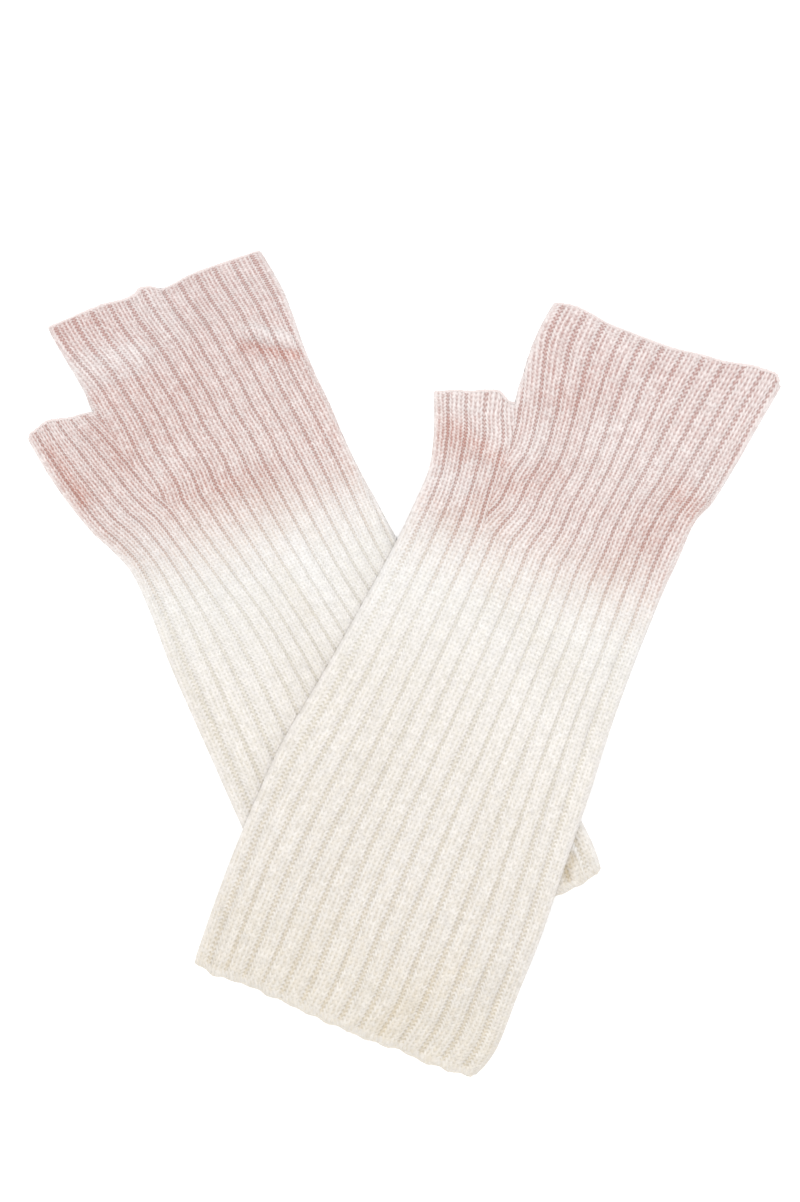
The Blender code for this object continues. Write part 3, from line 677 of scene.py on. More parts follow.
class Wall:
    """Builds the closed wall of one warmer: points, faces and what each of them knows of the knit."""

    def __init__(self, warmer, below):
        self.warmer = warmer
        self.below = below
        self.rows = knit_rows(warmer)
        self.hem, self.fingers = self.rows[0], self.rows[-1]
        self.crotch = next(row for row in self.rows if row.at_crotch)
        self.edges = OpenEdges(self.hem, self.crotch, self.fingers)
        self.lines = {name: Lines(warmer.courses, layer) for name, layer in LAYERS.items()}
        self.numbers = {}
        self.points = []
        self.facts = []
        self.faces = []
        self.corners = []  # wale and course at each face corner
        self.laid = {}

    def heights(self, layer, x, y, fold, edge):
        """Height above the table, before the crossing's lift."""
        loft = LOFT * smooth_step(fold / LOFT_WIDTH)
        crease = self.rise(x, y, self.warmer.seed) * smooth_step(fold / CREASE_WIDTH)
        hollow_top = UNDER_WALL + np.maximum(HOLLOW + loft + crease, LEAST_HOLLOW)
        thin = between(EDGE_SHARE, 1.0, bulge(edge, EDGE_ROUND))
        if layer == "upper_outer":
            return between(FOLD_HEIGHT, hollow_top + UPPER_WALL * thin, bulge(fold, FOLD_ROUND))
        if layer == "under_outer":
            lowest = UNDER_WALL * (1.0 - thin) + self.hollow_below(x, y, fold)
            return between(FOLD_HEIGHT, lowest, bulge(fold, UNDER_ROUND))
        height = hollow_top if layer == "upper_inner" else np.full(x.shape, UNDER_WALL)
        return np.where(fold <= FOLD_WALL + TINY, UNDER_WALL + LEAST_HOLLOW / 2.0, height)

    def rise(self, x, y, seed, mirror=1.0):
        """Creases and a slight swell; mirror is -1 for the creases of the other face."""
        creases = near_lines(self.warmer.creases, mirror * x, y)
        return creases + SWELL * slow_waves(SWELL_WAVES, seed, x, y)

    def hollow_below(self, x, y, fold):
        """The wall underneath lies on the table, so its creases can only be shallow hollows."""
        rise = self.rise(x, y, self.warmer.seed + 1, mirror=-1.0)
        return UNDER_HOLLOW * np.maximum(rise, 0.0) * smooth_step(fold / CREASE_WIDTH)

    def inwards(self, row, side):
        """1 or -1 along y where a row is an open edge on this side of the gusset line, otherwise 0."""
        if row is self.hem:
            return 1.0
        return -1.0 if row is self.fingers or (row is self.crotch and side == "thumb") else 0.0

    def lay(self, row, side, layer):
        """Points of one row of a layer, made once and then kept."""
        key = (row.place, side, layer)
        if key in self.laid:
            return self.laid[key]
        inside = layer.endswith("inner")
        wale = self.lines[layer].wales(row, side)
        x, y, fold = row.plan(side, wale, inside)
        ribbing, edge = self.edges.ribbing(side, x, y)
        if not inside and row.has_thumb:
            crotch_x, crotch_y = self.crotch.gusset
            fold = np.minimum(fold, np.hypot(x - crotch_x, y - crotch_y))
        if layer.startswith("under"):
            y = y + self.inwards(row, side) * UNDER_SHORT * smooth_step((fold - FOLD_WALL) / FOLD_WALL)
        if not inside:
            sway = SWAY * slow_waves(SWAY_WAVES, self.warmer.seed, x, y)
            x = x + sway * smooth_step(fold / LOFT_WIDTH)
        z = self.heights(layer, x, y, fold, edge)
        table_x, table_y = to_table(self.warmer, x, y)
        z = z + crossing_lift(table_x, table_y, self.below)
        relief = {"upper_outer": 1.0, "under_outer": -1.0}.get(layer, 0.0)
        relief = relief * between(FOLD_RELIEF, 1.0, smooth_step(fold / FOLD_ROUND))
        spread = row.spread(side, wale)
        spots = []
        for i in range(len(wale)):
            if side == "thumb" and wale[i] >= row.thumb_wales:
                number = self.lay(row, "hand", layer)[0].number
            else:
                fact = Fact(wale[i], row.course, relief[i], ribbing[i], spread[i], x[i], y[i])
                number = self.point((table_x[i], table_y[i], z[i]), fact)
            spots.append(Spot(number, wale[i], row.course))
        self.laid[key] = spots
        return spots

    def point(self, place, fact):
        """Number of the point at a place, which is a new one only if none is there yet."""
        key = tuple(round(float(value), 4) for value in place)
        if key not in self.numbers:
            self.numbers[key] = len(self.points)
            self.points.append(key)
            self.facts.append(fact)
        return self.numbers[key]

    def face(self, ring, up=True):
        """Adds a face from a ring of spots, without the corners that merged lines have in common."""
        ring = [spot for i, spot in enumerate(ring) if spot.number != ring[i - 1].number]
        if len({spot.number for spot in ring}) < 3:
            return
        if not up:
            ring.reverse()
        self.faces.append([spot.number for spot in ring])
        self.corners += [(spot.wale, spot.course) for spot in ring]

    def layer_rows(self, side, layer):
        """The rows that a layer uses: all on top, fewer underneath and inside."""
        step = LAYERS[layer].row_step
        ends = (self.crotch, self.fingers)
        chosen = [row for i, row in enumerate(self.rows) if i % step == 0 or row in ends]
        return [row for row in chosen if side == "hand" or row.has_thumb]


# %% [markdown]
# A stitch on the front of the knit is a V of two legs. With two rows for each course, the quads between
# a loop's middle and its side are split along the legs, so that even this coarse grid shows the V.

# %% The fine upper layer


def leg_rises(wale):
    """True where a leg climbs with growing wale: right half of a knit loop, left half of a purl one."""
    offset = (wale - FIRST_TROUGH) % WALES_PER_RIB
    knit = 1.0 <= offset < WALES_PER_RIB - 1.0
    return (offset % 1.0 >= 0.5) == knit


def fine_panel(wall, side):
    """The layer that is seen, with a V in each loop."""
    for row, after in zip(wall.rows, wall.rows[1:]):
        if side == "thumb" and not after.has_thumb:
            break
        low, high = wall.lay(row, side, "upper_outer"), wall.lay(after, side, "upper_outer")
        for a, b, c, d in zip(low, low[1:], high[1:], high):
            if leg_rises((a.wale + b.wale) / 2.0):
                wall.face([a, b, c])
                wall.face([a, c, d])
            else:
                wall.face([a, b, d])
                wall.face([b, c, d])


# %% Plain layers and open edges


def coarse_panel(wall, side, layer):
    """A plain layer. Underneath, its faces at the side folds take in the top's finer points."""
    rows = wall.layer_rows(side, layer)
    for row, after in zip(rows, rows[1:]):
        low, high = wall.lay(row, side, layer), wall.lay(after, side, layer)
        passed = wall.rows[wall.rows.index(row) + 1 : wall.rows.index(after)]
        fine = [wall.lay(other, side, "upper_outer") for other in passed]
        under = layer == "under_outer"
        for i in range(len(low) - 1):
            ring = [low[i], low[i + 1]]
            if under and side == "hand" and i == len(low) - 2:
                ring += [spots[-1] for spots in fine]
            ring += [high[i + 1], high[i]]
            if under and i == 0 and (side == "thumb" or not after.has_thumb):
                ring += [spots[0] for spots in reversed(fine)]
            wall.face(ring, up=layer == "under_inner")


def open_edge(wall, row, side, part):
    """Closes the wall's thickness along an open edge, between the outer and the inner lines."""
    outer, inner = wall.lay(row, side, part + "_outer"), wall.lay(row, side, part + "_inner")
    up = (part == "upper") != (row is wall.hem)
    taken = 0
    for spot, beside in zip(inner, inner[1:]):
        upto = len(outer) - 1
        if beside is not inner[-1]:
            upto = next(k for k in range(taken, len(outer)) if outer[k].wale >= beside.wale - TINY)
        wall.face(outer[taken : upto + 1] + [beside, spot], up=up)
        taken = upto


def build_wall(warmer, below=None):
    wall = Wall(warmer, below)
    for side in ("thumb", "hand"):
        fine_panel(wall, side)
        for layer in ("under_outer", "upper_inner", "under_inner"):
            coarse_panel(wall, side, layer)
    for part in ("upper", "under"):
        open_edge(wall, wall.hem, "thumb", part)
        open_edge(wall, wall.hem, "hand", part)
        open_edge(wall, wall.crotch, "thumb", part)
        open_edge(wall, wall.fingers, "hand", part)
    return wall


# %% Meshes that remember the knit
MAP_SPAN = 200.0  # the stitch map's 0 to 1 covers this many wales and courses


def add_object(name, data):
    """Puts a mesh, a lamp or a camera into the scene."""
    thing = bpy.data.objects.new(name, data)
    bpy.context.scene.collection.objects.link(thing)
    return thing


def keep_numbers(mesh, name, numbers):
    """Stores one number for each point."""
    mesh.attributes.new(name, "FLOAT", "POINT").data.foreach_set("value", numbers)


def keep_plan(mesh, x, y):
    """Stores each point's place in the warmer's own plane, which the dye reads."""
    plan = np.column_stack([x * MM, y * MM, np.zeros(len(x))])
    mesh.attributes.new("plan", "FLOAT_VECTOR", "POINT").data.foreach_set("vector", plan.ravel())


def wall_mesh(wall, name):
    mesh = bpy.data.meshes.new(name)
    mesh.from_pydata([[value * MM for value in point] for point in wall.points], [], wall.faces)
    *numbers, x, y = np.array(wall.facts).T
    for label, values in zip(Fact._fields, numbers):
        keep_numbers(mesh, label, values)
    keep_numbers(mesh, "crease", near_lines(wall.warmer.creases, x, y))
    # patches of dye, of painted shade and of painted light, which the finish reads
    keep_numbers(mesh, "dye_and_shade", near_lines(wall.warmer.patches, x, y))
    keep_plan(mesh, x, y)
    stitch_map = mesh.uv_layers.new(name="stitch_map")
    stitch_map.data.foreach_set("uv", (np.array(wall.corners) / MAP_SPAN).ravel())
    mesh.shade_smooth()
    return mesh


# %% The two plain walls
walls = {"lower": build_wall(LOWER), "upper": build_wall(UPPER, outline(LOWER))}
bases = {}
for name, wall in walls.items():
    mesh = wall_mesh(wall, name + "_plain_wall")
    bases[name] = add_object(name + "_plain_wall", mesh)
    print(name, "plain wall:", len(mesh.vertices), "points and", len(mesh.polygons), "faces,", end=" ")
    print("with", round(wall.fingers.course), "courses of knit")

# %% [markdown]
# ## Node trees in few words
#
# Geometry Nodes and materials share most of their maths nodes. Two small classes keep their trees short.
# `Tree` makes a node and sets or links its inputs. `Value` is a node's output that can be added,
# multiplied and so on, and each time that makes a Math node. A tree then reads like the formula that it
# stands for.

# %% Values


class Value:
    """A node's output to reckon with. What comes out is the Value of a new Math node."""

    def __init__(self, tree, socket):
        self.tree = tree
        self.socket = socket

    def __add__(self, other):
        return self.tree.math("ADD", self, other)

    def __sub__(self, other):
        return self.tree.math("SUBTRACT", self, other)

    def __rsub__(self, other):
        return self.tree.math("SUBTRACT", other, self)

    def __mul__(self, other):
        return self.tree.math("MULTIPLY", self, other)

    def __truediv__(self, other):
        return self.tree.math("DIVIDE", self, other)

    def __rtruediv__(self, other):
        return self.tree.math("DIVIDE", other, self)

    def __abs__(self):
        return self.tree.math("ABSOLUTE", self)

    def times(self, factor, plus):
        """A product and a sum in one node."""
        return self.tree.math("MULTIPLY_ADD", self, factor, plus)


# %% Trees


class Tree:
    """Adds nodes to a tree. An input is a number, a colour or another node's output."""

    def __init__(self, tree):
        self.tree = tree

    def put(self, node, inputs):
        """Sets a node's inputs, or links them to the outputs of others."""
        for place, value in dict(inputs).items():
            value = getattr(value, "socket", value)
            if isinstance(value, bpy.types.NodeSocket):
                self.tree.links.new(value, node.inputs[place])
            else:
                node.inputs[place].default_value = value

    def add(self, kind, inputs=(), **settings):
        node = self.tree.nodes.new(kind)
        for name, value in settings.items():
            setattr(node, name, value)
        self.put(node, inputs)
        return node

    def value(self, kind, inputs=(), output=0, **settings):
        """Adds a node and hands back one of its outputs."""
        return Value(self, self.add(kind, inputs, **settings).outputs[output])

    def math(self, operation, *values, clamp=False):
        return self.value("ShaderNodeMath", enumerate(values), operation=operation, use_clamp=clamp)

    def wave(self, turns):
        """1 at whole turns and -1 half way between them."""
        return self.math("COSINE", self.math("MULTIPLY", turns, math.tau))

    def vector(self, operation, *values):
        return self.value("ShaderNodeVectorMath", enumerate(values), operation=operation)

    def scaled(self, vector, size):
        return self.value("ShaderNodeVectorMath", {0: vector, "Scale": size}, operation="SCALE")

    def join(self, x=0.0, y=0.0, z=0.0):
        return self.value("ShaderNodeCombineXYZ", {"X": x, "Y": y, "Z": z})

    def split(self, vector):
        return [Value(self, part) for part in self.add("ShaderNodeSeparateXYZ", {0: vector}).outputs]

    def noise(self, spot, scale, detail, output=0):
        inputs = {"Vector": spot, "Scale": scale, "Detail": detail}
        return self.value("ShaderNodeTexNoise", inputs, output)

    def fade(self, value, start, end):
        """0 up to start and 1 from end on, with soft corners."""
        inputs = {"Value": value, "From Min": start, "From Max": end}
        return self.value("ShaderNodeMapRange", inputs, interpolation_type="SMOOTHSTEP")

    def mix(self, share, first, second):
        """first where share is 0, second where it is 1, for numbers."""
        return self.value("ShaderNodeMix", {"Factor": share, "A": first, "B": second})

    def profile(self, value, points):
        """Reads a drawn curve of (place, height) points at a value from 0 to 1."""
        node = self.add("ShaderNodeFloatCurve", {1: value})
        line = node.mapping.curves[0]
        line.points[0].location = points[0]
        line.points[1].location = points[-1]
        for point in points[1:-1]:
            line.points.new(*point)
        for point in line.points:
            point.handle_type = "VECTOR"
        node.mapping.update()
        return Value(self, node.outputs[0])


# %% How a Geometry Nodes tree starts, ends and runs


def geometry_tree(name, inputs):
    """An empty tree with named inputs: label -> (socket type, value). Also hands back their Values."""
    group = bpy.data.node_groups.new(name, "GeometryNodeTree")
    group.interface.new_socket("Geometry", in_out="INPUT", socket_type="NodeSocketGeometry")
    for label, (kind, value) in inputs.items():
        socket = group.interface.new_socket(label, in_out="INPUT", socket_type="NodeSocket" + kind)
        if value is not None:
            socket.default_value = value
    group.interface.new_socket("Geometry", in_out="OUTPUT", socket_type="NodeSocketGeometry")
    tree = Tree(group)
    start = tree.add("NodeGroupInput")
    return tree, {label: Value(tree, start.outputs[label]) for label in ("Geometry", *inputs)}


def end_tree(tree, geometry, material):
    """Every tree here ends alike: instances become real, and get their material."""
    real = tree.value("GeometryNodeRealizeInstances", {"Geometry": geometry})
    painted = tree.value("GeometryNodeSetMaterial", {"Geometry": real, "Material": material})
    tree.add("NodeGroupOutput", {"Geometry": painted})
    return tree.tree


def attribute(tree, name):
    return tree.value("GeometryNodeInputNamedAttribute", {"Name": name}, data_type="FLOAT")


def make_piece(source, group, name, **inputs):
    """Runs a tree on a source object and returns its result as a plain mesh piece."""
    modifier = source.modifiers.new(group.name, "NODES")
    modifier.node_group = group
    for item in group.interface.items_tree:
        label = item.name.lower().replace(" ", "_")
        if item.in_out == "INPUT" and label in inputs:
            modifier[item.identifier] = inputs[label]
    bpy.context.view_layer.update()
    depsgraph = bpy.context.evaluated_depsgraph_get()
    result = source.evaluated_get(depsgraph)
    mesh = bpy.data.meshes.new_from_object(result, preserve_all_data_layers=True, depsgraph=depsgraph)
    source.modifiers.remove(modifier)
    mesh.name = name
    triangles = sum(len(face.vertices) - 2 for face in mesh.polygons)
    print(name, "has", len(mesh.vertices), "points and", triangles, "triangles")
    return add_object(name, mesh)


# %% [markdown]
# ## Ribs and stitches
#
# The loops could be modelled as bent yarn, but each warmer has well over ten thousand on top alone. A
# bump in the material would cost nothing, and leave the outline flat. Here the mesh itself is raised:
# every point knows its wale and course, so one formula makes the whole pattern. A drawn profile gives
# the section from the middle of a rib to the middle of a trough: crests where two wales meet, dips in
# the middle of each wale, and the low trough of two purl wales. A cosine along the courses, bent towards
# the fingers at the sides of each wale, makes the V of a stitch; on the purl wales it bends the other
# way, as the back of a stitch does. Towards a bound edge the ribs fade into a plain band.

# %% Where a point lies in its rib and in its stitch
StitchPlace = namedtuple("StitchPlace", "from_crest from_middle turns wave cell")
LEG_SLANT = 0.5  # courses that a leg climbs from the middle of its wale to the side
STITCH_SWELL = 0.07  # share by which a rib widens at each loop
KNIT_SHARE = 0.6  # three knit wales of five
CLOSING = 0.14  # a closed rib's knit wales take this much more, and hide part of the purl ones
ROW_DRIFT = 0.12  # courses by which one wale's loops may be ahead of the next one's


def by_chance(tree, cell, size):
    """A number between -size and size, different for each stitch and always the same for one."""
    chance = tree.value("ShaderNodeTexWhiteNoise", {"Vector": cell}, output="Value")
    return (chance - 0.5) * (2.0 * size)


def stitch_place(tree, wale, course, spread):
    """from_crest runs from 0 in a rib's middle to 1 in a trough's, from_middle from 0 to 1 in one wale."""
    ribs = (wale - FIRST_TROUGH) / WALES_PER_RIB
    side = (tree.math("FRACT", ribs) - 0.5) * 2.0
    across = abs(side)
    knit = (1.0 - spread).times(CLOSING, plus=KNIT_SHARE)
    on_rib = across * KNIT_SHARE / knit
    purl_width = (1.0 - KNIT_SHARE) / (1.0 - knit)
    in_trough = (across - 1.0).times(purl_width, plus=1.0)
    across = tree.math("MAXIMUM", on_rib, in_trough)
    wales_off = across * (WALES_PER_RIB / 2.0)
    from_middle = tree.math("PINGPONG", wales_off, 0.5) * 2.0
    column = tree.math("ROUND", wales_off) * tree.math("SIGN", side)
    column = tree.math("FLOOR", ribs).times(WALES_PER_RIB, plus=column)
    course = course + by_chance(tree, tree.join(x=column), ROW_DRIFT)
    face = tree.math("SIGN", KNIT_SHARE - across)
    turns = course - from_middle * LEG_SLANT * face
    from_crest = across * tree.wave(course).times(-STITCH_SWELL, plus=1.0)
    row = tree.math("FLOOR", turns + 0.5)
    return StitchPlace(from_crest, from_middle, turns, tree.wave(turns), tree.join(x=column, y=row))


# %% The knit tree
RIB_PROFILE = (
    (0.0, 0.66), (0.2, 1.0), (0.4, 0.64), (0.6, 0.92), (0.72, 0.2), (0.85, 0.12), (1.0, 0.05),
)
WANDER_SCALE = 0.55  # how quickly the stitches' wander changes from one to the next


def knit_tree():
    inputs = {
        "Rib Rise": ("Float", RIB_RISE * MM),
        "Stitch Depth": ("Float", 0.13 * MM),
        "Unevenness": ("Float", 0.05 * MM),
        "Wander": ("Float", 0.35 * MM),
        "Band Height": ("Float", 0.72),  # of the plain band at an edge, as a share of a rib's
        "Under Share": ("Float", 0.5),  # ribs underneath are pressed flat to this share of their height
        "Material": ("Material", None),
    }
    tree, given = geometry_tree("ribs_and_stitches", inputs)
    wale, course, spread = (attribute(tree, name) for name in ("wale", "course", "spread"))
    ribbing, relief = attribute(tree, "ribbing"), attribute(tree, "relief")
    place = stitch_place(tree, wale, course, spread)
    height = tree.mix(ribbing, given["Band Height"], tree.profile(place.from_crest, RIB_PROFILE))
    uneven = by_chance(tree, place.cell, 1.0) * given["Unevenness"]
    raised = height.times(given["Rib Rise"], plus=place.wave * given["Stitch Depth"] + uneven)
    above = raised * tree.math("MAXIMUM", relief, 0.0)
    sunk = (1.0 - height) * given["Rib Rise"]
    below = sunk * given["Under Share"] * tree.math("MINIMUM", relief, 0.0)
    normal = tree.value("GeometryNodeInputNormal")
    ways = {"Factor": ribbing, 4: tree.join(z=tree.math("SIGN", relief)), 5: normal}
    way = tree.value("ShaderNodeMix", ways, output=1, data_type="VECTOR")
    offset = tree.scaled(tree.vector("NORMALIZE", way), above + below)
    drift = tree.noise(tree.join(x=wale, y=course), WANDER_SCALE, 1.0, output="Color")
    drift = tree.vector("MULTIPLY", tree.vector("SUBTRACT", drift, (0.5, 0.5, 0.5)), (1.0, 1.0, 0.0))
    drift = tree.scaled(drift, given["Wander"] * abs(relief))
    offset = tree.vector("ADD", offset, drift)
    moved = tree.value("GeometryNodeSetPosition", {"Geometry": given["Geometry"], "Offset": offset})
    return end_tree(tree, moved, given["Material"])


# %% [markdown]
# ## Bound edges
#
# Casting on and binding off leave a chain of loops along an edge, one for each wale. Each warmer has
# three such chains: round the hem, round the thumb and round the fingers, over the top layer and back
# under it. Strung on a line by Geometry Nodes, a chain follows any edge without being modelled loop by
# loop. A loop is a small slanted bead of yarn, and a cord through the beads holds them together, as the
# yarn that runs through all the loops does. The beads vary a little, from a fixed seed.

# %% Lines that the chains follow
HEM_SINK = 0.45  # how far a bead's middle lies inside the hem
TOP_SINK = 0.2  # and inside the edges of the thumb and the fingers
CORNER_SINK = 0.7  # at a side fold, it also lies this far in from the fold
BEAD_RISE = {"upper": 0.95, "under": -0.45}  # from the wall's inside


def edge_loop(wall, row, sides):
    """Numbers of the points once around an open edge, each with the part that it lies over."""
    spots = [spot for side in sides for spot in wall.lay(row, side, "upper_outer")]
    numbers = list(dict.fromkeys(spot.number for spot in spots))
    return [(number, "upper") for number in numbers] + [(number, "under") for number in numbers[-2:0:-1]]


def bead_place(wall, number, part, sink, middle_x):
    """Where the chain passes the point of this number, in millimetres on the table."""
    fact = wall.facts[number]
    off_fold = smooth_step((abs(fact.relief) - FOLD_RELIEF) / (1.0 - FOLD_RELIEF))
    short = math.copysign(UNDER_SHORT, sink) * off_fold if part == "under" else 0.0
    inwards = math.copysign(CORNER_SINK * (1.0 - off_fold), middle_x - fact.x)
    x, y = to_table(wall.warmer, fact.x + inwards, fact.y + sink + short)
    outer_z = wall.points[number][2]
    z = outer_z - UPPER_WALL * EDGE_SHARE + BEAD_RISE["upper"]
    if part == "under":
        lift = float(crossing_lift(np.array([x]), np.array([y]), wall.below)[0])
        z = UNDER_WALL + BEAD_RISE["under"] + lift
    return x, y, between(outer_z, z, off_fold)


def chain_source(wall, name):
    """A wire mesh with one closed line for each open edge."""
    edges = (
        (wall.hem, ("thumb", "hand"), HEM_SINK),
        (wall.crotch, ("thumb",), -TOP_SINK),
        (wall.fingers, ("hand",), -TOP_SINK),
    )
    points, wires, facts = [], [], []
    for row, sides, sink in edges:
        loop = edge_loop(wall, row, sides)
        middle_x = sum(wall.facts[number].x for number, part in loop) / len(loop)
        start = len(points)
        for number, part in loop:
            place = bead_place(wall, number, part, sink, middle_x)
            points.append([value * MM for value in place])
            facts.append(wall.facts[number])
        wires += [(start + i, start + (i + 1) % len(loop)) for i in range(len(loop))]
    mesh = bpy.data.meshes.new(name)
    mesh.from_pydata(points, wires, [])
    keep_numbers(mesh, "wale", [fact.wale for fact in facts])
    keep_plan(mesh, np.array([fact.x for fact in facts]), np.array([fact.y for fact in facts]))
    print(name, "has", len(points), "points on", len(edges), "closed lines")
    return add_object(name, mesh)


# %% Helpers for what is strewn or strung on points


def random_vector(tree, low, high, seed):
    inputs = {0: low, 1: high, "Seed": seed}
    return tree.value("FunctionNodeRandomValue", inputs, data_type="FLOAT_VECTOR")


def turned(tree, rotation, angles):
    """A rotation, turned on about its own axes."""
    inputs = {"Rotation": rotation, "Rotate By": tree.value("FunctionNodeEulerToRotation", {0: angles})}
    return tree.value("FunctionNodeRotateRotation", inputs, rotation_space="LOCAL")


def on_points(tree, points, instance, rotation, scale):
    inputs = {"Points": points, "Instance": instance, "Rotation": rotation, "Scale": scale}
    return tree.value("GeometryNodeInstanceOnPoints", inputs)


def drawn_out(tree, curve, sides, radius, caps=False):
    """A thread of round section along a curve."""
    ring = tree.value("GeometryNodeCurvePrimitiveCircle", {"Resolution": sides, "Radius": radius})
    inputs = {"Curve": curve, "Profile Curve": ring, "Fill Caps": caps}
    return tree.value("GeometryNodeCurveToMesh", inputs)


# %% The chain tree
BEAD_REACH = 0.95  # half of a bead, as a share of the distance to the next one, which it overlaps


def chain_tree():
    inputs = {
        "Loop Length": ("Float", 1.15 * MM),
        "Loop Width": ("Float", 0.74 * MM),
        "Slant": ("Float", math.radians(36.0)),
        "Cord Share": ("Float", 0.9),
        "Unevenness": ("Float", 0.12),
        "Seed": ("Int", 1),
        "Material": ("Material", None),
    }
    tree, given = geometry_tree("bound_edge", inputs)
    length, width = given["Loop Length"], given["Loop Width"]
    line = tree.value("GeometryNodeMeshToCurve", {"Mesh": given["Geometry"]})
    points = tree.add("GeometryNodeCurveToPoints", {"Curve": line, "Length": length}, mode="LENGTH").outputs
    uneven = random_vector(tree, (-1.0, -1.0, -1.0), (1.0, 1.0, 1.0), given["Seed"])
    jitter = tree.scaled(uneven, given["Unevenness"])
    facing = turned(tree, points["Rotation"], tree.vector("ADD", tree.join(x=given["Slant"]), jitter))
    bead = tree.value("GeometryNodeMeshUVSphere", {"Segments": 8, "Rings": 6, "Radius": 1.0})
    shape = tree.join(x=width, y=width, z=length * BEAD_REACH)
    bead = tree.value("GeometryNodeTransform", {"Geometry": bead, "Scale": shape})
    bead = tree.value("GeometryNodeSetShadeSmooth", {"Geometry": bead})
    size = tree.vector("ADD", jitter, (1.0, 1.0, 1.0))
    beads = on_points(tree, points["Points"], bead, facing, size)
    both = tree.add("GeometryNodeJoinGeometry", {"Geometry": beads})
    tree.put(both, {"Geometry": drawn_out(tree, line, 8, width * given["Cord Share"])})
    return end_tree(tree, both.outputs[0], given["Material"])


# %% [markdown]
# ## Loose fibres
#
# Soft wool has a halo of fibres that stand off the yarn. A hair system could grow them, but what it grows
# is no mesh, and would be lost when the pair is exported. Here short bent hairs are strewn over the top
# and the folds from a fixed seed: thin enough to soften an outline, too thin to be seen one by one.

# %% The fibre tree
HAIR = {"Start": (0.0, 0.0, -0.05), "Middle": (0.35, 0.12, 0.42), "End": (1.0, 0.0, 0.3)}
SHORTEST, LONGEST = 0.5, 1.5  # hairs, as shares of the fibre length
LEAN = 0.35  # most that a hair leans out of its place, in radians
FIBRES_FROM = 2.2  # none grow lower than this above the table
FULL_FROM = 4.0  # lower than this they are shorter, since none may reach the table
OUTSIDE = 0.1  # of the attribute relief, which is above 0 on top of the warmer alone


def fibre_tree():
    inputs = {
        "Fibres per Square Metre": ("Float", 110000.0),
        "Fibre Length": ("Float", 2.4 * MM),
        "Fibre Radius": ("Float", 0.02 * MM),
        "Seed": ("Int", 1),
        "Material": ("Material", None),
    }
    tree, given = geometry_tree("loose_fibres", inputs)
    length, seed = given["Fibre Length"], given["Seed"]
    height = tree.split(tree.value("GeometryNodeInputPosition"))[2]
    on_top = tree.math("GREATER_THAN", height, FIBRES_FROM * MM)
    outside = tree.math("GREATER_THAN", attribute(tree, "relief"), OUTSIDE)
    strewn = tree.add("GeometryNodeDistributePointsOnFaces", {
        "Mesh": given["Geometry"],
        "Selection": on_top * outside,
        "Density": given["Fibres per Square Metre"],
        "Seed": seed,
    }).outputs
    curve = tree.value("GeometryNodeCurveQuadraticBezier", {"Resolution": 3, **HAIR})
    hair = drawn_out(tree, curve, 3, given["Fibre Radius"] / length, caps=True)
    spin = random_vector(tree, (-LEAN, -LEAN, -math.pi), (LEAN, LEAN, math.pi), seed)
    facing = turned(tree, strewn["Rotation"], spin)
    size = tree.value("FunctionNodeRandomValue", {2: SHORTEST, 3: LONGEST, "Seed": seed}, output=1)
    room = tree.fade(height, 0.0, FULL_FROM * MM)
    hairs = on_points(tree, strewn["Points"], hair, facing, size * length * room)
    return end_tree(tree, hairs, given["Material"])


# %% [markdown]
# ## Yarn, dyed by dipping
#
# The colour could be painted on by hand, but a formula that reads the stitches is as sharp from near as
# from afar. It has two parts. The dye depends on how far along the warmer a stitch lies, since the pair
# was hung in the dye bath by its fingers: the line is uneven, and runs lower in the troughs, where the
# yarn stays wet longer. The depth in the rib then picks between a light and a deep tone. The deep tone is
# partly dye, which fine wool shows best where its fibres are packed, and partly painted shade: the shade
# of the troughs is painted in, and so is the deepening of the colour by light caught between the fibres.
# The pale tone on the strands is partly a painted highlight.

# %% Colours of the yarn


def paint(red, green, blue):
    """A colour as it is picked on screen, 0 to 255, turned into the linear values that a shader takes."""
    shares = [value / 255.0 for value in (red, green, blue)]
    linear = [s / 12.92 if s <= 0.04045 else ((s + 0.055) / 1.055) ** 2.4 for s in shares]
    return (*linear, 1.0)


Tone = namedtuple("Tone", "place rib trough")  # place in millimetres past the dye's line
# A trough's colour is its yarn's deeper dye with the trough's shade painted in.
TONES = (
    Tone(-210, rib=paint(240, 234, 225), trough=paint(226, 214, 192)),
    Tone(-150, rib=paint(245, 240, 234), trough=paint(227, 217, 201)),
    Tone(-70, rib=paint(249, 244, 239), trough=paint(232, 225, 211)),
    Tone(-25, rib=paint(251, 248, 245), trough=paint(241, 236, 226)),
    Tone(-10, rib=paint(251, 246, 243), trough=paint(236, 224, 213)),
    Tone(3, rib=paint(251, 243, 240), trough=paint(220, 195, 185)),
    Tone(16, rib=paint(251, 242, 239), trough=paint(208, 173, 165)),
    Tone(110, rib=paint(250, 240, 238), trough=paint(206, 172, 167)),
)
print("tones from the hem to the fingers:", len(TONES), "on a rib and as many in a trough")

# %% Where each colour lies
TONES_START, TONES_END = float(TONES[0].place), float(TONES[-1].place)
DYED = (0.6, 0.69)  # shares of the tones' scale over which cream turns into pink
STREAK = 6.0  # how far one wale's dye runs past its neighbour's
STREAK_LENGTH = 30.0  # streaks change this slowly along a wale, compared with across the wales
STREAK_SCALE, STREAK_DETAIL = 0.6, 2.0
TROUGH_RUN = 7.0  # how much further the dye runs in the troughs


def ramp(tree, share, part):
    """A colour ramp with one stop for each tone of the ribs or the troughs."""
    node = tree.add("ShaderNodeValToRGB", {"Fac": share})
    stops = node.color_ramp.elements
    while len(stops) > 1:
        stops.remove(stops[-1])
    for index, tone in enumerate(TONES):
        place = (tone.place - TONES_START) / (TONES_END - TONES_START)
        stop = stops.new(place) if index else stops[0]
        stop.position = place
        stop.color = getattr(tone, part)
    return node.outputs[0]


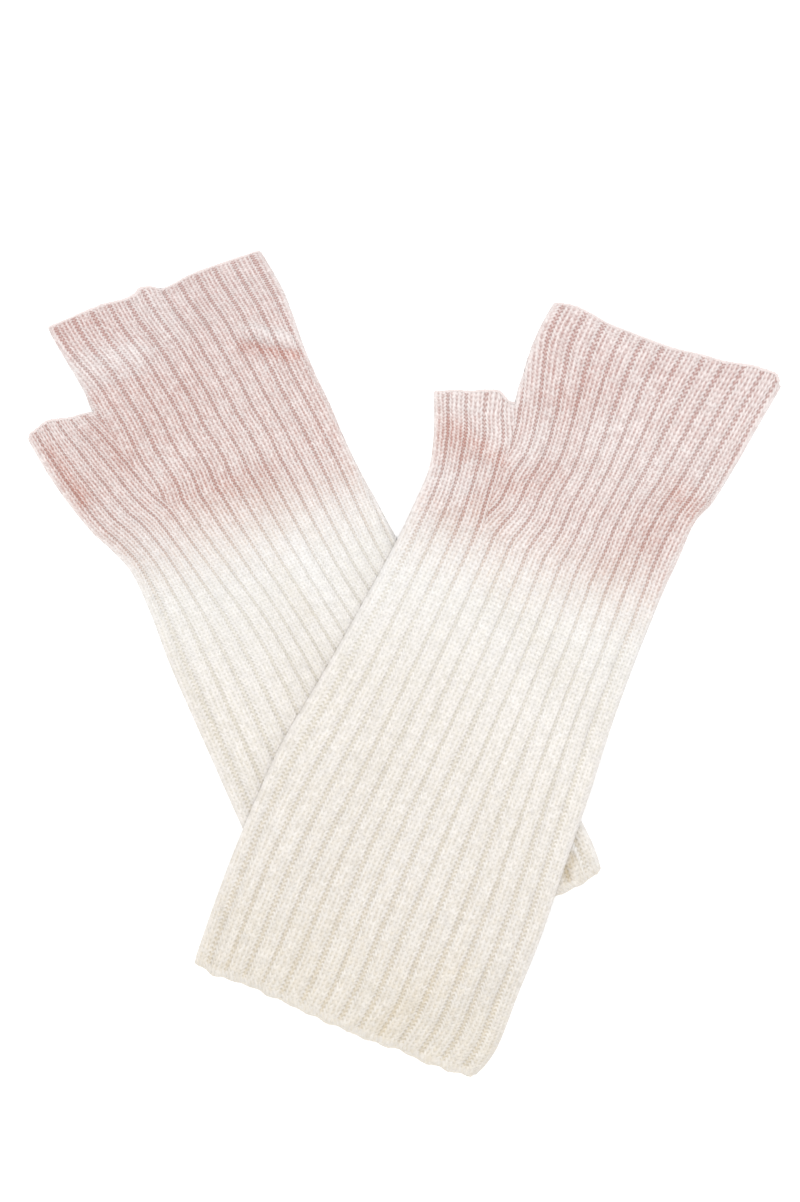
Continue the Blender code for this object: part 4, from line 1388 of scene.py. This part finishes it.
def yarn_colour(tree, share, tone):
    """The deep colour of a trough, with its shade painted in, where tone is 0, the light one of a rib where
    it is 1.
    """
    light, deep = ramp(tree, share, "rib"), ramp(tree, share, "trough")
    return tree.value("ShaderNodeMix", {"Factor": tone, 6: deep, 7: light}, output=2, data_type="RGBA")


def read(tree, name, output="Fac"):
    return tree.value("ShaderNodeAttribute", output=output, attribute_name=name)


def dye_share(tree, dye, tone, wale):
    """Place of a point on the tones' scale, 0 to 1, with the dye's uneven line."""
    x, y = tree.split(read(tree, "plan", "Vector"))[:2]
    along = y / MM
    line = (x / MM).times(dye.slope, plus=dye.line)
    spot = tree.join(x=wale, y=along / STREAK_LENGTH)
    run = (tree.noise(spot, STREAK_SCALE, STREAK_DETAIL) - 0.5) * (2.0 * STREAK)
    past = (along - line) + (run + (1.0 - tone) * TROUGH_RUN)
    return tree.value("ShaderNodeMapRange", {"Value": past, "From Min": TONES_START, "From Max": TONES_END})


# %% [markdown]
# ## The finish of soft wool
#
# Wool scatters light in its loose fibres: it is matt, with a pale sheen where it is seen at a slant.
# From afar one matt colour would do, and a repeated weave pattern would hold up a little nearer, but its
# stitches would slide off those of the mesh. Here tone, grain and bump all read the wale and course from
# the stitch map, so they stay on the stitches when the cloth bends. The legs of two stitches that meet
# make a pale strand, partly a painted highlight; the middle of a stitch, where the next loop comes
# through, is painted darker, as shade. Where the
# cloth folds over, only the pale outside of its ribs shows. A plainer finish serves chains and fibres.

# %% What all the wool has in common
ALBEDO = 0.695  # share of the light that the palest yarn gives back, to leave room for a brighter table
WOOL = {
    "Roughness": 0.92,
    "Specular IOR Level": 0.2,
    "Sheen Weight": 0.4,
    "Sheen Roughness": 0.5,
    "Sheen Tint": paint(255, 250, 246),
}
BUMP = {"Strength": 0.7, "Distance": 0.25 * MM}


def new_material(name):
    material = bpy.data.materials.new(name)
    material.use_nodes = True
    return material, Tree(material.node_tree)


def put_shader(material, tree, inputs):
    tree.put(material.node_tree.nodes["Principled BSDF"], inputs)


def finish_wool(material, tree, colour, value, bump_height, saturation=1.0):
    """Links colour, value and bump to the shader, and sets what matt wool has in common."""
    inputs = {"Hue": 0.5, "Saturation": saturation, "Value": value, "Color": colour}
    tone = tree.value("ShaderNodeHueSaturation", inputs)
    bump = tree.value("ShaderNodeBump", {**BUMP, "Height": bump_height})
    put_shader(material, tree, {"Base Color": tone, "Normal": bump, **WOOL})


# %% What the knit's finish reads
KnitPlace = namedtuple("KnitPlace", "wale course spread ribbing rim crease place purl cast_on")
PURL = (0.6, 0.75)  # places in the rib's section between which knit turns into purl
CAST_ON_SLANT = 0.45  # wales that a cast-on loop leans for each course
RIM = (1.0, 0.45)  # as relief falls from the first to the second of these, the cloth folds over
MOST_CREASE = 1.2  # a crease counts up to this height or depth


def read_knit(tree):
    """All that the finish needs to know of a point of the knit."""
    across, along = tree.split(tree.value("ShaderNodeUVMap", uv_map="stitch_map"))[:2]
    wale, course, spread = across * MAP_SPAN, along * MAP_SPAN, read(tree, "spread")
    crease = tree.math("MAXIMUM", read(tree, "crease"), -MOST_CREASE)
    place = stitch_place(tree, wale, course, spread)
    return KnitPlace(
        wale=wale,
        course=course,
        spread=spread,
        ribbing=read(tree, "ribbing"),
        rim=tree.fade(abs(read(tree, "relief")), *RIM),
        crease=tree.math("MINIMUM", crease, MOST_CREASE),
        place=place,
        purl=tree.fade(place.from_crest, *PURL),
        cast_on=tree.wave(course.times(CAST_ON_SLANT, plus=wale)),
    )


# %% Tone of the ribs and of the bands
# A tone is 0 where the yarn is deepest, in a trough, and 1 where it is palest, on a strand. Besides the
# purl wales' deeper colour, the low tones hold painted shade in the troughs and in the dips of the wales,
# and the high ones a painted highlight on the strands.
TONE_PROFILE = (
    (0.0, 0.36), (0.09, 0.53), (0.16, 0.9), (0.24, 0.9), (0.31, 0.54), (0.4, 0.34), (0.49, 0.54),
    (0.56, 0.95), (0.63, 0.95), (0.69, 0.55), (0.76, 0.32), (0.88, 0.12), (1.0, 0.06),
)
PURL_LIFT, OPEN_LIFT = 0.04, 0.06  # how much paler purl wales are, and how much more in an open trough
PURL_STROKE, OPEN_STROKE = 0.34, 0.12  # the same for how clearly their rows show
KNIT_STROKE = 0.12  # how clearly the rows of the knit wales show
BAND_TONE = 0.8  # of the plain bands at the edges
BAND_STROKE = 0.2  # how clearly the loops of a band show
RIM_TONE = 1.0  # where the cloth folds, the pale outside of a rib is all that shows
RIM_SHARE = 0.75  # how far it goes there


def rib_tone(tree, at):
    wave = at.place.wave
    lift = at.spread.times(OPEN_LIFT, plus=PURL_LIFT)
    stroke = wave.times(at.spread.times(OPEN_STROKE, plus=PURL_STROKE), plus=lift)
    tone = at.purl.times(stroke, plus=tree.profile(at.place.from_crest, TONE_PROFILE))
    return ((1.0 - at.purl) * wave).times(KNIT_STROKE, plus=tone)


def cloth_tone(tree, at, ribs):
    """The ribs' tone, a plain one on the bands, and a pale one where the cloth folds over."""
    band = at.cast_on.times(BAND_STROKE, plus=BAND_TONE)
    return tree.mix(at.rim * RIM_SHARE, tree.mix(at.ribbing, band, ribs), RIM_TONE)


# %% How tone and dye differ from place to place
UNDYED_TONE = 0.74  # undyed ribs go nearly to this tone all over: no dye marks their strands, and most of their painted stitch shade and highlight is evened out
UNDYED_SHARE = 0.55  # how far they go to that tone
CREASE_SHADE_TONE = 0.08  # painted light on a ridge and painted shade in a valley, by this much for each millimetre
CREASE_SHADE_SATURATION = -0.22  # light caught in a valley is painted in as deeper colour, by this share for each millimetre
PALE_RIDGE = 0.3  # and a ridge is painted paler, as lit, up to this height
CLOUD_TONE = 0.36  # how far soft clouds of paler and deeper tone differ
CLOUD_SCALE, CLOUD_DETAIL = 45.0, 3.0
LEG_CHANCE = 0.26  # how far the tone of one leg of a stitch may lie from the next one's
DEEPER_TONE = -0.14  # what a placed patch of size 1 does to the tone
DYE_AND_SHADE_SATURATION = 0.22  # to the strength of the colour: dye, painted shade and painted light
DEEPER_VALUE = -0.035  # and to the light that comes back: deeper dye and painted shade darken it, painted light brightens it
UNDYED_PATCH = 0.4  # share of a placed patch that shows where there is no dye, where it paints shade and light into the cream


def tone_shift(tree, at):
    """Painted shade and light of the creases, clouds and chance."""
    clouds = tree.noise(tree.value("ShaderNodeTexCoord", output="Object"), CLOUD_SCALE, CLOUD_DETAIL) - 0.5
    leg = tree.vector("ADD", at.place.cell, tree.join(z=tree.math("FLOOR", at.wale * 2.0)))
    return at.crease.times(CREASE_SHADE_TONE, plus=clouds * CLOUD_TONE) + by_chance(tree, leg, LEG_CHANCE)


def saturation_of_dye_and_shade(tree, at, dye_and_shade):
    ridge = tree.math("MINIMUM", at.crease, PALE_RIDGE)
    return dye_and_shade.times(DYE_AND_SHADE_SATURATION, plus=ridge.times(CREASE_SHADE_SATURATION, plus=1.0))


# %% Grain and bump of the yarn
TWIST = 7.0  # the grain is this much finer along a leg than across it
GRAIN_SCALE, GRAIN_DETAIL = 1.6, 3.0
GRAIN_VALUE, GRAIN_BUMP = 0.3, 0.9
GAP_SHADE = 0.18  # painted shade: how much darker the gap is in the middle of a stitch
GAP_NARROWING = 1.5  # above 1, the gap is narrower than the wale
GAP = (0.4, -0.9)  # where a stitch's wave falls below the first, its gap begins; at the second it is full
RIM_GAP = 0.7  # how much of the gaps' painted shade is lost where the cloth folds over
STITCH_CHANCE = 0.03  # how far one stitch may be lighter or darker than the next
STITCH_BUMP, RIB_BUMP, BAND_BUMP = 0.35, 0.6, 0.8


def yarn_grain(tree, at):
    return tree.noise(tree.join(x=at.place.turns * TWIST, y=at.wale), GRAIN_SCALE, GRAIN_DETAIL) - 0.5


def yarn_value_and_gap_shade(tree, at, grain):
    """How much light the yarn gives back, with painted shade in the gap of each stitch."""
    middle = tree.math("POWER", 1.0 - at.place.from_middle, GAP_NARROWING)
    gap = middle * tree.fade(at.place.wave, *GAP)
    gap = tree.math("MULTIPLY", gap, at.ribbing - at.rim * RIM_GAP, clamp=True)
    value = grain.times(GRAIN_VALUE, plus=gap.times(-GAP_SHADE * ALBEDO, plus=ALBEDO))
    return value + by_chance(tree, at.place.cell, STITCH_CHANCE)


def yarn_bump(tree, at, grain, ribs):
    knit = at.place.wave.times(STITCH_BUMP, plus=ribs * RIB_BUMP)
    return grain.times(GRAIN_BUMP, plus=tree.mix(at.ribbing, at.cast_on * BAND_BUMP, knit))


# %% Materials of the knit and of the loose yarn
LOOSE_SCALE, LOOSE_DETAIL = 1500.0, 2.0  # of the grain on chains and fibres
LOOSE_VALUE = 0.2


def stitched_wool(warmer):
    material, tree = new_material(warmer.name + "_stitched_wool")
    at = read_knit(tree)
    ribs = rib_tone(tree, at)
    tone = cloth_tone(tree, at, ribs)
    share = dye_share(tree, warmer.dye, tone, at.wale)
    dyed = tree.fade(share, *DYED)
    undyed = (UNDYED_SHARE - dyed * UNDYED_SHARE) * (1.0 - at.purl)
    tone = tree.mix(undyed, tone, UNDYED_TONE)
    # Placed patches deepen or pale the colour: dye, painted shade and painted light
    dye_and_shade = read(tree, "dye_and_shade") * dyed.times(1.0 - UNDYED_PATCH, plus=UNDYED_PATCH)
    dye_and_shade = dyed.times(warmer.dye.depth, plus=dye_and_shade)
    tone = tree.math("ADD", tone, dye_and_shade.times(DEEPER_TONE, plus=tone_shift(tree, at)), clamp=True)
    grain = yarn_grain(tree, at)
    value = dye_and_shade.times(DEEPER_VALUE, plus=yarn_value_and_gap_shade(tree, at, grain))
    saturation = saturation_of_dye_and_shade(tree, at, dye_and_shade)
    colour = yarn_colour(tree, share, tone)
    finish_wool(material, tree, colour, value, yarn_bump(tree, at, grain, ribs), saturation)
    return material


def loose_wool(warmer, name, undyed_tone, dyed_tone):
    material, tree = new_material(warmer.name + name)
    share = dye_share(tree, warmer.dye, 1.0, read(tree, "wale"))
    tone = tree.mix(tree.fade(share, *DYED), undyed_tone, dyed_tone)
    grain = tree.noise(tree.value("ShaderNodeTexCoord", output="Object"), LOOSE_SCALE, LOOSE_DETAIL)
    value = (grain - 0.5).times(LOOSE_VALUE, plus=ALBEDO)
    finish_wool(material, tree, yarn_colour(tree, share, tone), value, grain)
    return material


# %% [markdown]
# ## The knitted pieces
#
# Now the trees run on each plain wall and on its chain lines. They could stay on as live modifiers, but
# an export wants plain meshes. So each result is made one, and the wall and the lines that it grew from
# go. The fibres grow on the finished knit, not on the plain wall, so that they stand on the yarn.

# %% Knit both warmers, bind their edges and strew their fibres
EDGE_TONES_WITH_HEM_SHADE = (0.6, 0.82)  # of the edge yarn, undyed and dyed; the low undyed one is painted shade on the hem's rolled edge
FLUFF_TONES = (1.0, 1.0)
FLUFF_SEED = 20  # added to the warmer's own seed
knit_group, chain_group, fibre_group = knit_tree(), chain_tree(), fibre_tree()
knits, chains, fibres = {}, {}, {}
for warmer in (LOWER, UPPER):
    name, seed = warmer.name, warmer.seed
    wool = stitched_wool(warmer)
    knits[name] = make_piece(bases[name], knit_group, name + "_rib_knit", material=wool)
    source = chain_source(walls[name], name + "_chain_lines")
    yarn = loose_wool(warmer, "_edge_yarn", *EDGE_TONES_WITH_HEM_SHADE)
    chains[name] = make_piece(source, chain_group, name + "_bound_edges", material=yarn, seed=seed)
    fluff = loose_wool(warmer, "_fluff", *FLUFF_TONES)
    seed = seed + FLUFF_SEED
    fibres[name] = make_piece(knits[name], fibre_group, name + "_loose_fibres", material=fluff, seed=seed)
    for used in (bases[name], source):
        bpy.data.objects.remove(used, do_unlink=True)

# %% [markdown]
# ## The pieces on one body
#
# Each knit stands for its warmer's solid, which is hidden; the knit, its bound edges and its fibres hang
# from one body, root. Before it was laid down, a warmer is a flat tube: its cut is a sheet as wide as the
# tube all round, hem to fingers, less what the outline leaves out beside the thumb.

# %% Hang the pieces on one body and hide their solids
for warmer in (LOWER, UPPER):
    knit, chain, fluff = knits[warmer.name], chains[warmer.name], fibres[warmer.name]
    for piece in (knit, chain, fluff):
        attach(piece, "root")
        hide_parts(warmer.node)

# %% [markdown]
# ## Table, light and camera
#
# A pale table, a soft lamp straight above, a weaker one to the upper left and an even white surrounding
# give the flat, bright light of a studio table. A single hard lamp would carve the ribs more, but cloth
# looks soft only where its shadows are. The camera looks straight down through a long lens, which keeps
# both ends of the pair at one scale.

# %% Table
TABLE_SIZE = 12.0
TABLE_TONE = 0.95
half = TABLE_SIZE / 2.0
mesh = bpy.data.meshes.new("table")
corners = [(-half, -half, 0), (half, -half, 0), (half, half, 0), (-half, half, 0)]
mesh.from_pydata(corners, [], [range(4)])
surface, tree = new_material("pale_table")
colour = (TABLE_TONE, TABLE_TONE, TABLE_TONE, 1.0)
put_shader(surface, tree, {"Base Color": colour, "Roughness": 0.9, "Specular IOR Level": 0.1})
mesh.materials.append(surface)
add_object("table", mesh)

# %% Light
ROOM_LIGHT = 0.85
world = bpy.data.worlds.new("white_room")
world.use_nodes = True
background = world.node_tree.nodes["Background"]
Tree(world.node_tree).put(background, {"Color": (1.0, 1.0, 1.0, 1.0), "Strength": ROOM_LIGHT})
bpy.context.scene.world = world
bpy.context.scene.view_settings.view_transform = "Standard"
bpy.context.scene.view_settings.look = "None"


def add_lamp(name, place, size, power):
    """A round soft lamp that shines on the middle of the pair."""
    lamp = bpy.data.lights.new(name, "AREA")
    lamp.shape = "DISK"
    lamp.size = size
    lamp.energy = power
    holder = add_object(name, lamp)
    holder.location = place
    holder.rotation_euler = (-holder.location).to_track_quat("-Z", "Y").to_euler()
    holder.visible_camera = False
    print(name, "of", power, "watts, at", place)


add_lamp("soft_key", place=(-1.0, 1.0, 3.3), size=2.0, power=22.0)
add_lamp("soft_top", place=(0.0, 0.0, 3.3), size=1.2, power=70.0)

# %% Camera
PICTURE_HEIGHT = 1202
MM_PER_PIXEL = 0.4
MIDDLE = (-1.73, 24.83)  # the point of the table in the middle of the picture
CAMERA_HEIGHT = 1.6
lens = bpy.data.cameras.new("straight_down")
lens.type = "PERSP"
lens.sensor_width = 36.0
lens.lens = lens.sensor_width * CAMERA_HEIGHT / (PICTURE_HEIGHT * MM_PER_PIXEL * MM)
camera = add_object("straight_down", lens)
camera.location = (MIDDLE[0] * MM, MIDDLE[1] * MM, CAMERA_HEIGHT)
bpy.context.scene.camera = camera
print("lens of", round(lens.lens, 1), "mm at", CAMERA_HEIGHT, "m")
